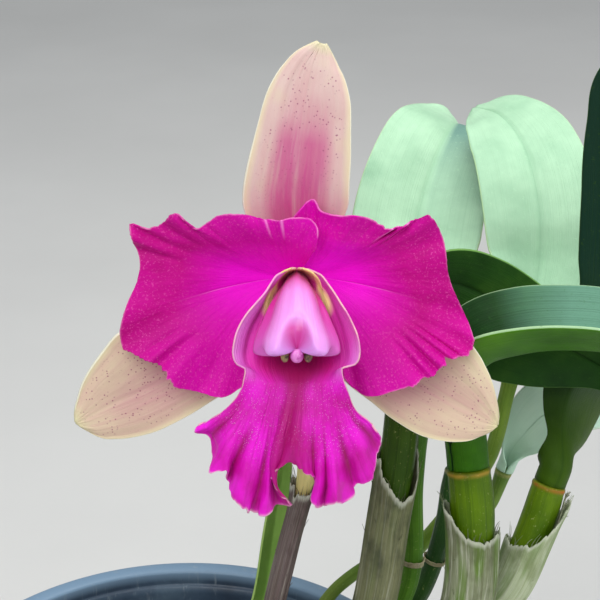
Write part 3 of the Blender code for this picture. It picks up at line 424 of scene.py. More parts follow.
# Sheaths: the growth each one wraps, where it begins and ends along it, how far its mouth dips (or
# rises, if negative) and on which side, measured from the front, and how loosely it fits
SHEATHS = {
    "sheath_left": ("growth_left", 0.26, 0.86, 0.09, 23.0, 0.8),
    "sheath_middle": ("growth_middle", 0.28, 0.82, -0.10, -95.0, 0.8),
    "sheath_right": ("growth_right", 0.28, 0.80, -0.16, 80.0, 1.3),
    "sheath_flowering": ("growth_flowering", 0.22, 0.88, 0.03, 0.0, 0.7),
}
SHEATH_THICKNESS = 0.4
STRIP_THICKNESS = 0.3
# Threads that stand off each sheath, and the share of them at its mouth
THREAD_COUNT = 46
MOUTH_THREADS = 0.7
THREAD_HALF_WIDTH = 0.16
THREAD_THICKNESS = 0.12
# Dry paper: light, dark and fibre colours, the green that shows through and how much, and the shine
SHEATH_LOOKS = {
    "sheath_left": ((120, 122, 86), (44, 52, 30), (84, 90, 56), (84, 100, 46), 0.35, 0.3),
    "sheath_middle": ((138, 146, 114), (80, 88, 48), (98, 102, 70), (88, 122, 26), 0.9, 0.75),
    "sheath_right": ((184, 196, 160), (124, 138, 92), (150, 162, 120), (98, 132, 44), 0.6, 0.5),
    "sheath_flowering": ((112, 98, 96), (58, 42, 36), (86, 66, 56), (84, 78, 54), 0.2, 0.25),
}
SCAR_LOOK = ((206, 198, 160), (120, 104, 70), (160, 148, 110), (150, 150, 96), 0.3, 0.6)
STRIP_LOOK = ((196, 200, 176), (120, 124, 84), (150, 156, 120), (140, 150, 90), 0.4, 0.8)

# The flower's stalk: its foot on the cane, points along it, radii, and the ovary's ribs
PEDICEL_FOOT = (46.8, 20.1, 262.75)
PEDICEL_LINE = [(47.4, 21.5, 275), (48.8, 25.5, 292), (48.4, 25.0, 310), (45.0, 15.5, 324)]
PEDICEL_RADII = [(0, 1.7), (0.5, 1.8), (0.8, 2.6), (0.93, 3.0), (1, 3.2)]
OVARY_RIBS = 6
OVARY_RIB_HEIGHT = 0.09

# Roots: points along each, from its growth over the bark
ROOTS = {
    "root_front": [(36, -14, 146.3), (32, -24, 146.1), (24, -36, 145.7), (20, -52, 145.4), (8, -66, 145.2)],
    "root_left": [(0, -11, 145.8), (-12, -14, 145.4), (-26, -8, 145.1), (-42, -12, 144.8),
                  (-58, -4, 144.6)],
    "root_back": [(35, 13, 145.9), (28, 24, 145.7), (20, 42, 145.4), (4, 56, 145.1), (-8, 70, 144.9)],
    "root_side": [(53, -22, 143.9), (51, -32, 143.6), (56, -44, 143.2), (50, -58, 142.9)],
}
ROOT_RADII = [(0, 1.9), (0.7, 1.7), (0.95, 1.3), (1, 0.7)]

# Stage, in metres: the floor's half-width, the sky, and each lamp's place, goal, width and power
FLOOR_REACH = 8.0
SKY_COLOUR = (0.93, 0.96, 1.0, 1.0)
SKY_STRENGTH = 0.42
LIGHTS = {
    "key": ((-0.25, -0.75, 1.15), (0.05, 0.0, 0.28), 0.9, 9.0),
    "top": ((0.25, 0.35, 1.3), (0.08, 0.05, 0.25), 1.0, 7.5),
    "fill": ((0.9, -0.5, 0.6), (0.05, 0.0, 0.28), 0.8, 2.8),
}
# Camera: its place in metres, how far it looks down, focal length and sensor
EYE = (0.0432, -0.44155, 0.5296)
LOOKING_DOWN = 25
FOCAL_LENGTH = 96.0
SENSOR_WIDTH = 36.0


# Shapes: curves, graphs and grids

def joined(knots, values, slopes):
    """A function that joins the values at the knots by cubics with the given slopes."""
    def at(place):
        place = np.clip(np.asarray(place, float), knots[0], knots[-1])
        index = np.clip(np.searchsorted(knots, place) - 1, 0, len(knots) - 2)
        width = knots[index + 1] - knots[index]
        x = (place - knots[index]) / width
        if values.ndim > 1:
            x, width = x[..., None], width[..., None]
        square, cube = x * x, x * x * x
        over = 3 * square - 2 * cube
        return (values[index] * (1 - over) + slopes[index] * (width * (cube - 2 * square + x))
                + values[index + 1] * over + slopes[index + 1] * (width * (cube - square)))
    return at


def curve_through(points):
    """A smooth curve through the points, as a function of the share of its length."""
    stops = np.array([tuple(point) for point in points], float)
    lengths = np.linalg.norm(np.diff(stops, axis=0), axis=1)
    knots = np.concatenate([[0.0], np.cumsum(lengths)]) / lengths.sum()
    low = np.maximum(np.arange(len(stops)) - 1, 0)
    high = np.minimum(np.arange(len(stops)) + 1, len(stops) - 1)
    return joined(knots, stops, (stops[high] - stops[low]) / (knots[high] - knots[low])[:, None])


def graph(pairs):
    """A smooth graph through the (place, value) pairs that never overshoots them."""
    knots, values = np.array(pairs, float).T
    rises = np.diff(values) / np.diff(knots)
    slopes = np.concatenate([rises[:1], np.zeros(len(rises) - 1), rises[-1:]])
    for index, (before, after) in enumerate(zip(rises, rises[1:]), 1):
        if before * after > 0:
            slopes[index] = 2 * before * after / (before + after)
    return joined(knots, values, slopes)


def graphs(rows):
    """A graph for each further item of rows that begin with their place."""
    return [graph([(row[0], row[item]) for row in rows]) for item in range(1, len(rows[0]))]


def unit(vectors):
    return vectors / np.linalg.norm(vectors, axis=-1, keepdims=True)


def heading(path, share, step=0.004):
    """The unit direction of a path."""
    return unit(path(np.minimum(share + step, 1.0)) - path(np.maximum(share - step, 0.0)))


def eased(x, low=0.0, high=1.0):
    """A smooth step from 0 at low to 1 at high."""
    share = np.clip((np.asarray(x, float) - low) / (high - low), 0.0, 1.0)
    return share * share * (3 - 2 * share)


def hump(x, centre, width):
    """A smooth hump of height 1 that fades within about two widths."""
    return np.exp(-((x - centre) / width) ** 2)


def lerp(first, second, share):
    share = np.asarray(share)[..., None]
    return first * (1 - share) + second * share


def dome(x, least=0.0):
    """A quarter circle's height, from least at 0 to 1 at 1."""
    return np.sqrt(np.clip(1 - (1 - np.clip(x, 0, 1)) ** 2, least, 1))


def ripple(x, seed):
    """Smooth seeded noise along a line, from -1 to 1."""
    values = np.random.default_rng(seed).uniform(-1, 1, 512)
    low = np.floor(x).astype(int)
    share = eased(x - low)
    return values[low % 512] * (1 - share) + values[(low + 1) % 512] * share


def ripples(x, y, seed):
    """Smooth seeded noise over a plane, from -1 to 1."""
    values = np.random.default_rng(seed).uniform(-1, 1, (128, 128))
    left, low = np.floor(x).astype(int), np.floor(y).astype(int)
    across, along = eased(x - left), eased(y - low)
    near = values[left % 128, low % 128] * (1 - across) + values[(left + 1) % 128, low % 128] * across
    far = (values[left % 128, (low + 1) % 128] * (1 - across)
           + values[(left + 1) % 128, (low + 1) % 128] * across)
    return near * (1 - along) + far * along


def torn(nicks, place, seed):
    """The sum of ripples along a rim, given as depth and number."""
    return sum(depth * ripple(place * count, seed + number) for number, (depth, count) in enumerate(nicks))


def waved(waves, place, along, seed):
    """Ripples from rows of height, where they set in, where they are full, and waves across and along."""
    return sum(high * eased(along, low, full) * ripples(place * wide, along * far, seed + number)
               for number, (high, low, full, wide, far) in enumerate(waves))


def added(name, data):
    """A new object in the scene."""
    thing = bpy.data.objects.new(name, data)
    bpy.context.scene.collection.objects.link(thing)
    return thing


def kneaded(name, work):
    """The mesh that a bmesh holds, which it frees."""
    mesh = bpy.data.meshes.new(name)
    work.to_mesh(mesh)
    work.free()
    return mesh


def new_piece(name, mesh, looks, nodes):
    """An object for the mesh that rides on the root body and stands for the CAD nodes."""
    piece = added(name, mesh)
    for look in looks if isinstance(looks, list) else [looks]:
        mesh.materials.append(look)
    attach(piece, "root")
    if nodes:
        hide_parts(*nodes)
    return piece


def woven(name, shape, along, across, looks, nodes, closed=False, flip=False):
    """A smooth grid over shape(along, across), its shares given or counted and kept in the map grain."""
    along = np.linspace(0, 1, along) if isinstance(along, int) else along
    across = np.linspace(-1, 1, across) if isinstance(across, int) else across
    columns = len(across) - 1 if closed else len(across)
    points = shape(*np.meshgrid(along, across[:columns], indexing="ij")) * MM
    i, j = np.meshgrid(np.arange(len(along) - 1), np.arange(len(across) - 1), indexing="ij")
    k = (j + 1) % columns
    faces = np.stack([i * columns + j, i * columns + k, (i + 1) * columns + k, (i + 1) * columns + j], -1)
    u = np.stack([across[j], across[j + 1], across[j + 1], across[j]], -1) / 2 + 0.5
    v = np.stack([along[i], along[i], along[i + 1], along[i + 1]], -1)
    grain = np.stack([u, v], -1).reshape(-1, 4, 2)
    faces = faces.reshape(-1, 4)
    if flip:
        faces, grain = faces[:, ::-1], grain[:, ::-1]
    mesh = bpy.data.meshes.new(name)
    mesh.from_pydata(points.reshape(-1, 3).tolist(), [], faces.tolist())
    layer = mesh.uv_layers.new(name="grain")
    layer.uv.foreach_set("vector", np.ascontiguousarray(grain, np.float32).ravel())
    mesh.shade_smooth()
    return new_piece(name, mesh, looks, nodes)


def thicken(piece, thickness, back=0):
    """Gives a sheet its thickness; back is which of its looks the back takes."""
    solid = piece.modifiers.new("thickness", "SOLIDIFY")
    solid.thickness = thickness * MM
    solid.offset = 0.0
    solid.use_even_offset = False
    solid.material_offset = back


def steps(count, low=0.0, high=1.0, crowd=1.0):
    """Shares from low to high, crowded towards the high end."""
    return low + (high - low) * (1 - (1 - np.linspace(0, 1, count)) ** crowd)


def turned_facing(first, last):
    """The way a blade faces: from the first direction to the last over the blade's lower part."""
    def facing(along):
        return lerp(np.array(first, float), np.array(last, float), eased(along / FACING_SHARE))
    return facing


def frames(path, along):
    """The unit vectors along a path and, without twist, to its right and its front."""
    ways = heading(path, along)
    right = np.empty_like(ways)
    current = np.array((1.0, 0.0, 0.0))
    for index in reversed(range(len(along))):
        current = unit(current - ways[index] * np.dot(current, ways[index]))
        right[index] = current
    return right, np.cross(right, ways)


def around(right, front, turn):
    """The direction at an angle from the front."""
    return right * np.sin(turn)[..., None] + front * np.cos(turn)[..., None]


def tube(name, path, radius, along, sides, looks, nodes):
    """A closed tube whose radius is a function of the way along and the angle from the front."""
    right, front = frames(path, along)
    rounding = dome(np.minimum(along, 1 - along) / 0.012)

    def shape(a, b):
        turn = math.pi * b
        spread = (radius(a, turn) * np.maximum(rounding[:, None], 0.02))[..., None]
        return path(a) + around(right[:, None, :], front[:, None, :], turn) * spread
    return woven(name, shape, along, sides + 1, looks, nodes, closed=True)


# Materials

def paint(red, green, blue):
    """A colour as seen on the screen, as the linear colour that shaders take."""
    parts = [value / 255 for value in (red, green, blue)]
    linear = [part / 12.92 if part <= 0.04045 else ((part + 0.055) / 1.055) ** 2.4 for part in parts]
    return (*linear, 1.0)


class Tree:
    """A material's nodes, added one call at a time; colour is the base colour so far."""

    def __init__(self, name):
        self.material = bpy.data.materials.new(name)
        self.material.use_nodes = True
        self.nodes = self.material.node_tree.nodes
        self.shader = self.nodes["Principled BSDF"]
        self.colour = None

    def feed(self, socket, value):
        if isinstance(value, bpy.types.NodeSocket):
            self.material.node_tree.links.new(value, socket)
        else:
            socket.default_value = value

    def add(self, kind, feeds, **settings):
        node = self.nodes.new("ShaderNode" + kind)
        for key, value in settings.items():
            setattr(node, key, value)
        for key, value in feeds.items():
            self.feed(node.inputs[key], value)
        return node

    def place(self):
        return self.add("TexCoord", {}).outputs["Object"]

    def grain(self):
        return self.add("UVMap", {}, uv_map="grain").outputs["UV"]

    def shares(self):
        """The share across and the share along, from the grain."""
        split = self.add("SeparateXYZ", {"Vector": self.grain()})
        return split.outputs["X"], split.outputs["Y"]

    def scaled(self, vector, x, y, z=1.0):
        return self.add("Mapping", {"Vector": vector, "Scale": (x, y, z)}).outputs["Vector"]

    def noise(self, vector, scale, detail=3.0, roughness=0.55):
        feeds = {"Vector": vector, "Scale": scale, "Detail": detail, "Roughness": roughness}
        return self.add("TexNoise", feeds).outputs["Fac"]

    def fibres(self, across, along, detail=3.0, roughness=0.55):
        """Noise drawn out along the grain: how many fibres lie across it and along it."""
        return self.noise(self.scaled(self.grain(), across, along), 1.0, detail, roughness)

    def cells(self, vector, scale):
        return self.add("TexVoronoi", {"Vector": vector, "Scale": scale}).outputs["Distance"]

    def maths(self, kind, first, second=0.0):
        return self.add("Math", {0: first, 1: second}, operation=kind).outputs["Value"]

    def away(self, value, centre):
        """How far a value is from a centre."""
        return self.maths("ABSOLUTE", self.maths("SUBTRACT", value, centre))

    def level(self, value, *stops):
        """A number read off (place, height) stops."""
        return self.ramp(value, *[(place, (height, height, height, 1.0)) for place, height in stops])

    def ramp(self, value, *stops):
        """A colour read off (place, colour) stops."""
        node = self.add("ValToRGB", {"Fac": value})
        band = node.color_ramp.elements
        while len(band) < len(stops):
            band.new(0.5)
        for stop, (place, _) in zip(band, stops):
            stop.position = place
        for stop, (_, colour) in zip(band, stops):
            stop.color = colour if len(colour) == 4 else paint(*colour)
        return node.outputs["Color"]

    def mix(self, share, first, second):
        node = self.add("Mix", {0: share, 6: first}, data_type="RGBA")
        self.feed(node.inputs[7], paint(*second) if isinstance(second, tuple) else second)
        return node.outputs[2]

    def veil(self, *layers):
        """The product of layers: each a value, or a value with the (place, height) stops to read it by."""
        heights = [self.level(*layer) if isinstance(layer, tuple) else layer for layer in layers]
        return functools.reduce(lambda first, second: self.maths("MULTIPLY", first, second), heights)

    def coat(self, colour, *layers):
        """Lays a colour over the base colour so far, as thick as the veil of the layers."""
        self.colour = self.mix(self.veil(*layers), self.colour, colour)

    def finish(self, roughness=0.5, bumps=(), **others):
        """The finished material; bumps are (height, depth in millimetres) pairs."""
        self.feed(self.shader.inputs["Base Color"], self.colour)
        self.feed(self.shader.inputs["Roughness"], roughness)
        normal = None
        for height, depth in bumps:
            node = self.add("Bump", {"Height": height, "Distance": depth * MM, "Strength": 1.0})
            if normal:
                self.feed(node.inputs["Normal"], normal)
            normal = node.outputs["Normal"]
        if normal:
            self.feed(self.shader.inputs["Normal"], normal)
        for key, value in others.items():
            self.feed(self.shader.inputs[key.replace("_", " ")], value)
        return self.material


def grown(name):
    """A new material's nodes, the place on the object, and the shares across and along it."""
    tree = Tree(name)
    return tree, tree.place(), *tree.shares()


def petal_look(name, vein, crease_highlights, bright):
    tree, place, across, along = grown(name)
    streaks = tree.fibres(150, 3.0, 4, 0.6)
    clouds = tree.noise(place, 55, 4)
    glint_noise = tree.noise(place, 1500, 2, 0.7)
    tree.colour = tree.ramp(clouds, (0.3, (174, 0, 112)), (0.52, (190, 0, 130)), (0.75, (206, 4, 150)))
    tree.coat((222, 4, 180), (across, (0.1, 0.9), (0.32, 0.25), (0.45, 0.0), (0.68, 0.0), (0.88, 0.6)))
    # Painted glow: a brighter magenta near the centre of the petal
    tree.coat((248, 2, 222), (along, (0.05, 1.0), (0.3, 0.8), (0.48, 0.3), (0.66, 0.0)))
    # Painted highlight: the bright petal's crown, where it bulges towards the light, in vivid magenta
    if bright:
        tree.coat((255, 16, 240), (along, (0.15, 1.0), (0.5, 0.9), (0.72, 0.0)),
                  (across, (0.0, 1.0), (0.2, 0.9), (0.38, 0.0)))
    tree.coat((150, 0, 96), (streaks, (0.34, 0.15), (0.5, 0.0)))
    # Painted glints: fine pale speckles of the velvet, thicker towards the rim
    tree.coat((244, 100, 190), (glint_noise, (0.56, 0.0), (0.72, 1.0)), (along, (0.3, 0.05), (0.95, 0.5)))
    tree.coat((255, 150, 225), (tree.away(across, vein), (0.0, 1.0), (0.005, 0.0)),
              (along, (0.1, 0.7), (0.4, 0.5), (0.5, 0.1), (0.7, 0.0)))
    # Painted highlights: pale lines where the creases near the rim catch the light
    for crease in crease_highlights:
        tree.coat((250, 150, 222), (tree.away(across, crease), (0.0, 1.0), (0.0035, 0.0)),
                  (along, (0.72, 0.0), (0.88, 0.6), (1.0, 0.8)))
    tree.coat((240, 150, 200), (along, (0.99, 0.0), (0.999, 0.5)),
              (tree.noise(place, 160, 2), (0.42, 0.0), (0.6, 1.0)))
    rough = tree.level(clouds, (0.3, 0.5), (0.7, 0.62))
    return tree.finish(rough, [(streaks, 0.1), (glint_noise, 0.05), (clouds, 0.8)], Sheen_Weight=0.04,
                       Sheen_Roughness=0.4, Sheen_Tint=paint(255, 120, 215), Specular_IOR_Level=0.14)


def sepal_look(name, upright):
    tree, place, across, along = grown(name)
    streaks = tree.fibres(16, 3.0, 3, 0.55)
    clouds = tree.noise(place, 60, 3)
    middle = tree.away(across, 0.5)
    if upright:
        colours = (0.3, (212, 178, 172)), (0.5, (218, 190, 182)), (0.7, (220, 200, 176))
        blush = ((196, 62, 136), (middle, (0.0, 0.8), (0.06, 1.0), (0.22, 0.85), (0.34, 0.12), (0.45, 0.0)),
                 (along, (0.35, 1.0), (0.58, 0.9), (0.68, 0.4), (0.8, 0.12), (0.9, 0.0)),
                 (streaks, (0.3, 0.6), (0.55, 1.0)))
        dotted = (along, (0.4, 0.2), (0.62, 1.0), (0.88, 1.0), (0.95, 0.0))
        margin = (middle, (0.42, 0.0), (0.485, 0.65))
    else:
        colours = (0.3, (214, 186, 164)), (0.5, (218, 194, 168)), (0.7, (222, 206, 172))
        blush = ((190, 104, 142), (middle, (0.0, 0.9), (0.3, 0.4), (0.46, 0.0)),
                 (along, (0.3, 1.0), (0.6, 0.8), (0.95, 0.1)), (streaks, (0.3, 0.5), (0.6, 1.0)))
        dotted = (along, (0.3, 0.3), (0.55, 1.0), (0.92, 1.0), (1.0, 0.2))
        margin = (middle, (0.44, 0.0), (0.49, 0.75))
    tree.colour = tree.ramp(clouds, *colours)
    tree.coat(*blush)
    tree.coat((214, 160, 160), (streaks, (0.45, 0.0), (0.75, 0.3)))
    tree.coat((146, 62, 104), (tree.cells(place, 860), (0.12, 1.0), (0.27, 0.0)),
              (tree.noise(place, 200, 1), (0.4, 0.0), (0.5, 1.0)), (middle, (0.36, 1.0), (0.45, 0.0)),
              dotted, 0.8)
    tree.coat((232, 222, 178), margin)
    tree.coat((244, 242, 222), (middle, (0.488, 0.0), (0.496, 0.8)))
    tree.coat((222, 226, 170), (along, (0.95, 0.0), (1.0, 0.6)))
    return tree.finish(0.5, [(streaks, 0.3), (tree.noise(place, 900, 2), 0.05)], Sheen_Weight=0.05,
                       Specular_IOR_Level=0.25)


def lip_look(name, painted_valley_shade):
    tree, place, across, along = grown(name)
    middle = tree.away(across, 0.5)
    streaks = tree.fibres(70, 3.5, 4, 0.6)
    clouds = tree.noise(place, 90, 4)
    tree.colour = tree.ramp(clouds, (0.3, (194, 0, 146)), (0.5, (222, 6, 190)), (0.72, (244, 22, 222)))
    tree.coat((160, 0, 82), (middle, (0.0, 0.85), (0.06, 0.7), (0.14, 0.0)))
    # Across the waist: painted shade darkens the middle under the column, paling out to the real lilac of
    # the lobes' margins; the right side's inside is a brighter magenta, painted light where the light falls
    # on it
    wing = tree.ramp(middle, (0.1, (150, 0, 84)), (0.24, (206, 4, 130)), (0.34, (216, 40, 172)),
                     (0.4, (220, 76, 190)), (0.44, (226, 104, 210)), (0.5, (236, 140, 224)))
    painted_lit_side = tree.veil((across, (0.7, 0.0), (0.8, 0.6)), (along, (0.38, 1.0), (0.44, 0.0)))
    # Painted shade: dark bands down the valleys of the lower lobes' folds
    for centre, width in painted_valley_shade:
        tree.coat((142, 0, 66), (tree.away(across, centre), (0.0, 0.9), (0.9 * width, 0.0)),
                  (along, (0.64, 0.0), (0.82, 1.0), (0.97, 0.7), (1.0, 0.2)))
    tree.coat(tree.mix(painted_lit_side, wing, (214, 24, 158)), (along, (0.44, 1.0), (0.5, 0.6), (0.56, 0.0)))
    tree.coat((160, 0, 104), (streaks, (0.34, 0.28), (0.5, 0.0)))
    # Painted shade: dark crimson in the throat just under the column
    tree.coat((170, 0, 92), (along, (0.36, 0.2), (0.47, 0.75), (0.5, 0.4), (0.56, 0.0)),
              (middle, (0.0, 1.0), (0.12, 0.7), (0.24, 0.0)))
    # Painted light: a brighter magenta inside the tube's deep end, which lies in shade
    tree.coat((244, 60, 176), (along, (0.19, 1.0), (0.22, 0.0)))
    # The throat's real yellow strips, and the cream arch above the column, its cream made paler still as
    # painted light in the shaded cavity
    strips = tree.veil((along, (0.1, 0.0), (0.14, 1.0), (0.25, 0.9), (0.29, 0.0)),
                       (middle, (0.2, 0.0), (0.25, 1.0), (0.33, 1.0), (0.39, 0.0)))
    arch = tree.veil((along, (0.03, 0.0), (0.08, 1.0), (0.18, 1.0), (0.2, 0.0)),
                     (middle, (0.3, 0.0), (0.38, 1.0)))
    tree.coat((255, 232, 150), tree.maths("MAXIMUM", strips, arch))
    # Painted glints: fine bright dots of the velvet below the waist
    sparkle_glints = tree.veil((tree.cells(place, 1700), (0.1, 1.0), (0.3, 0.0)),
                      (tree.noise(place, 300, 2), (0.4, 0.2), (0.56, 1.0)),
                      (along, (0.5, 0.0), (0.54, 0.8), (0.76, 1.0), (0.88, 0.0)),
                      (middle, (0.03, 0.4), (0.1, 1.0)))
    tree.coat((255, 170, 232), sparkle_glints, 0.7)
    tree.coat((246, 196, 214), (along, (0.991, 0.0), (0.999, 0.8)),
              (tree.noise(place, 150, 2), (0.42, 0.1), (0.58, 1.0)))
    tree.coat((238, 186, 186), (middle, (0.493, 0.0), (0.4985, 0.85)),
              (tree.noise(place, 260, 3), (0.36, 0.25), (0.56, 1.0)))
    rough = tree.level(clouds, (0.3, 0.4), (0.7, 0.55))
    return tree.finish(rough, [(streaks, 0.4), (sparkle_glints, 0.12), (tree.noise(place, 1300, 2), 0.05)],
                       Sheen_Weight=0.08, Sheen_Tint=paint(255, 140, 220), Specular_IOR_Level=0.28)


def column_look(name):
    tree, place, across, along = grown(name)
    ridge = tree.away(across, 0.75)
    streaks = tree.fibres(60, 3, 3)
    tree.colour = tree.ramp(along, (0.12, (196, 10, 130)), (0.32, (222, 70, 172)), (0.52, (236, 142, 226)),
                            (0.85, (232, 158, 236)), (1.0, (208, 138, 222)))
    tree.coat((206, 34, 146), (ridge, (0.07, 0.0), (0.13, 0.6), (0.2, 0.95)),
              (along, (0.2, 1.0), (0.55, 0.9), (0.8, 0.35), (0.92, 0.0)))
    wings = tree.ramp(along, (0.5, (206, 20, 140)), (0.8, (206, 66, 168)), (1.0, (204, 96, 190)))
    tree.coat(wings, (ridge, (0.17, 0.0), (0.215, 1.0)))
    tree.coat((204, 50, 150), (ridge, (0.02, 1.0), (0.045, 0.6), (0.075, 0.0)),
              (along, (0.82, 0.0), (0.9, 0.9), (1.0, 1.0)))
    tree.coat((222, 120, 208), (streaks, (0.3, 0.3), (0.5, 0.0)))
    return tree.finish(0.38, [(streaks, 0.2), (tree.noise(place, 700, 2), 0.04)], Subsurface_Weight=0.15,
                       Subsurface_Radius=(0.002, 0.001, 0.0015), Sheen_Weight=0.1)


def leaf_look(name, pale, mid, deep, margin, gloss, drift=None, shade=None):
    """A leathery leaf: three greens in clouds, parallel veins, a midrib and a thin paler margin."""
    tree, place, across, along = grown(name)
    middle = tree.away(across, 0.5)
    veins = tree.fibres(110, 1.2, 3, 0.6)
    clouds = tree.noise(place, 22, 4, 0.6)
    tree.colour = tree.ramp(clouds, (0.3, deep), (0.5, mid), (0.68, pale))
    # The colour the leaf drifts to along its length; for BLUISH a painted sky reflection
    if drift:
        colour, stops = drift
        tree.coat(colour, (along, *stops))
    tree.coat(deep, (veins, (0.35, 0.22), (0.5, 0.0)))
    tree.coat(deep, (middle, (0.0, 0.55), (0.012, 0.3), (0.035, 0.0)))
    tree.coat(margin, (middle, (0.494, 0.0), (0.499, 0.7)), (along, (0.12, 0.0), (0.3, 1.0)))
    # A painted shade over part of the leaf, in the palette's colour and places
    if shade:
        colour, stops_across, stops_along = shade
        tree.coat(colour, (across, *stops_across), (along, *stops_along))
    tree.coat(pale, (tree.noise(place, 700, 2, 0.7), (0.62, 0.0), (0.74, 0.3)))
    rough = tree.level(tree.noise(place, 45, 3), (0.3, gloss), (0.7, gloss + 0.12))
    return tree.finish(rough, [(veins, 0.22), (tree.noise(place, 380, 3), 0.08), (clouds, 0.8)],
                       Specular_IOR_Level=0.14)


def cane_look(name, bright, deep, ring):
    tree, place, across, along = grown(name)
    ribs = tree.fibres(46, 1.5, 4, 0.6)
    clouds = tree.noise(place, 42, 4)
    tree.colour = tree.ramp(clouds, (0.3, deep), (0.62, bright))
    tree.coat(deep, (ribs, (0.36, 0.5), (0.52, 0.0)))
    tree.coat((112, 92, 52), (along, (0.1, 0.85), (0.26, 0.25), (0.4, 0.0)))
    tree.coat(ring, (along, (0.974, 0.0), (0.984, 0.9), (0.992, 0.0)),
              (tree.noise(place, 130, 3), (0.35, 0.25), (0.6, 1.0)))
    tree.coat((196, 200, 130), (tree.noise(place, 900, 2, 0.7), (0.64, 0.0), (0.75, 0.4)))
    return tree.finish(0.42, [(ribs, 0.4), (tree.noise(place, 500, 3), 0.06)], Specular_IOR_Level=0.2)


def paper_look(name, light, dark, fibre, green, shown, shine):
    """Dry sheath: fine fibres, silvery strands, dark mottles and windows where the stem shows through."""
    tree, place, across, along = grown(name)
    fibres = tree.fibres(120, 3.0, 4, 0.6)
    strands = tree.fibres(42, 2.6, 4, 0.6)
    mottles = tree.noise(tree.scaled(place, 1.0, 1.0, 0.6), 95, 4, 0.6)
    tree.colour = tree.ramp(fibres, (0.3, fibre), (0.55, light))
    tree.coat(green, (tree.fibres(8, 1.8, 3, 0.5), (0.48, 0.0), (0.6, shown)))
    tree.coat((206, 208, 190), (strands, (0.52, 0.0), (0.7, shine)))
    tree.coat(dark, (mottles, (0.48, 0.0), (0.66, 0.7)))
    tree.coat((206, 210, 192), (along, (0.97, 0.0), (0.99, 0.6)))
    return tree.finish(0.75, [(fibres, 0.25), (strands, 0.5), (mottles, 0.3)])


def pot_look(name):
    tree = Tree(name)
    place = tree.place()
    dust = tree.noise(place, 38, 5, 0.65)
    scuffs = tree.noise(tree.scaled(place, 1, 1, 0.12), 260, 4, 0.7)
    height = tree.maths("DIVIDE", tree.add("SeparateXYZ", {"Vector": place}).outputs["Z"], POT_HEIGHT * MM)
    tree.colour = tree.ramp(dust, (0.3, (40, 56, 74)), (0.55, (54, 74, 94)), (0.75, (78, 100, 118)))
    # Painted reflection: a paler blue band round the top of the rim, where the sky shines on it
    tree.coat((120, 150, 176), (height, (0.972, 0.0), (0.995, 0.9)))
    tree.coat((150, 164, 170), (scuffs, (0.58, 0.0), (0.7, 0.35)))
    tree.coat((84, 86, 60), (height, (0.0, 0.6), (0.25, 0.0)), (dust, (0.4, 0.0), (0.6, 1.0)))
    return tree.finish(tree.level(scuffs, (0.3, 0.34), (0.7, 0.55)), [(scuffs, 0.06), (dust, 0.12)])


def bark_look(name):
    tree = Tree(name)
    place = tree.place()
    grain = tree.noise(tree.scaled(place, 1.0, 1.0, 3.0), 190, 5, 0.7)
    patches = tree.noise(place, 70, 4)
    tree.colour = tree.ramp(patches, (0.3, (58, 36, 24)), (0.48, (98, 64, 42)), (0.6, (130, 92, 60)),
                            (0.75, (84, 80, 46)))
    tree.coat((38, 24, 18), (grain, (0.35, 0.7), (0.55, 0.0)))
    return tree.finish(0.92, [(grain, 0.8), (patches, 0.6)])


def root_look(name):
    tree, place, across, along = grown(name)
    felt = tree.noise(place, 420, 4, 0.7)
    tree.colour = tree.ramp(felt, (0.3, (150, 150, 126)), (0.55, (196, 196, 176)), (0.75, (214, 212, 196)))
    tree.coat((120, 140, 82), (tree.noise(place, 90, 3), (0.5, 0.0), (0.65, 0.5)))
    tree.coat((140, 170, 60), (along, (0.93, 0.0), (0.97, 1.0)))
    return tree.finish(0.85, [(felt, 0.25)])


def stalk_look(name):
    tree, place, across, along = grown(name)
    ribs = tree.fibres(24, 2, 3)
    tree.colour = tree.ramp(ribs, (0.35, (96, 122, 44)), (0.6, (150, 168, 84)))
    tree.coat((186, 60, 130), (along, (0.7, 0.0), (0.95, 0.75)))
    return tree.finish(0.5, [(ribs, 0.25), (tree.noise(place, 600, 2), 0.05)])


def bead_look(name, light, dark):
    tree = Tree(name)
    place = tree.place()
    tree.colour = tree.ramp(tree.noise(place, 420, 3), (0.35, dark), (0.6, light))
    return tree.finish(0.4, [(tree.noise(place, 1300, 2), 0.08)], Coat_Weight=0.2)


def floor_look(name):
    tree = Tree(name)
    place = tree.place()
    tree.colour = tree.ramp(tree.noise(place, 3, 4), (0.3, (214, 214, 211)), (0.7, (222, 222, 219)))
    return tree.finish(0.75, [(tree.noise(place, 220, 3), 0.1)])


# The bloom

def bloom_place(points):
    """Points of the bloom's frame in the plant's frame."""
    raised = math.radians(BLOOM_RAISED)
    x, y, z = points[..., 0], points[..., 1], points[..., 2]
    turned = np.stack([x, y * math.sin(raised) - z * math.cos(raised),
                       y * math.cos(raised) + z * math.sin(raised)], -1)
    return turned + np.array(BLOOM_CENTRE)


def softened(curve, place):
    """The curve with its small teeth averaged out."""
    offsets = [RIM_SOFTENING * step / 3 for step in range(-3, 4)]
    return sum(curve(np.clip(place + offset, 0.0, 1.0)) for offset in offsets) / len(offsets)


def pleated(pleats, place, spread=1.0):
    """The height of pleats given as place along the rim, half-width and height."""
    return sum(high * hump(place, centre, width * spread) for centre, width, high in pleats)


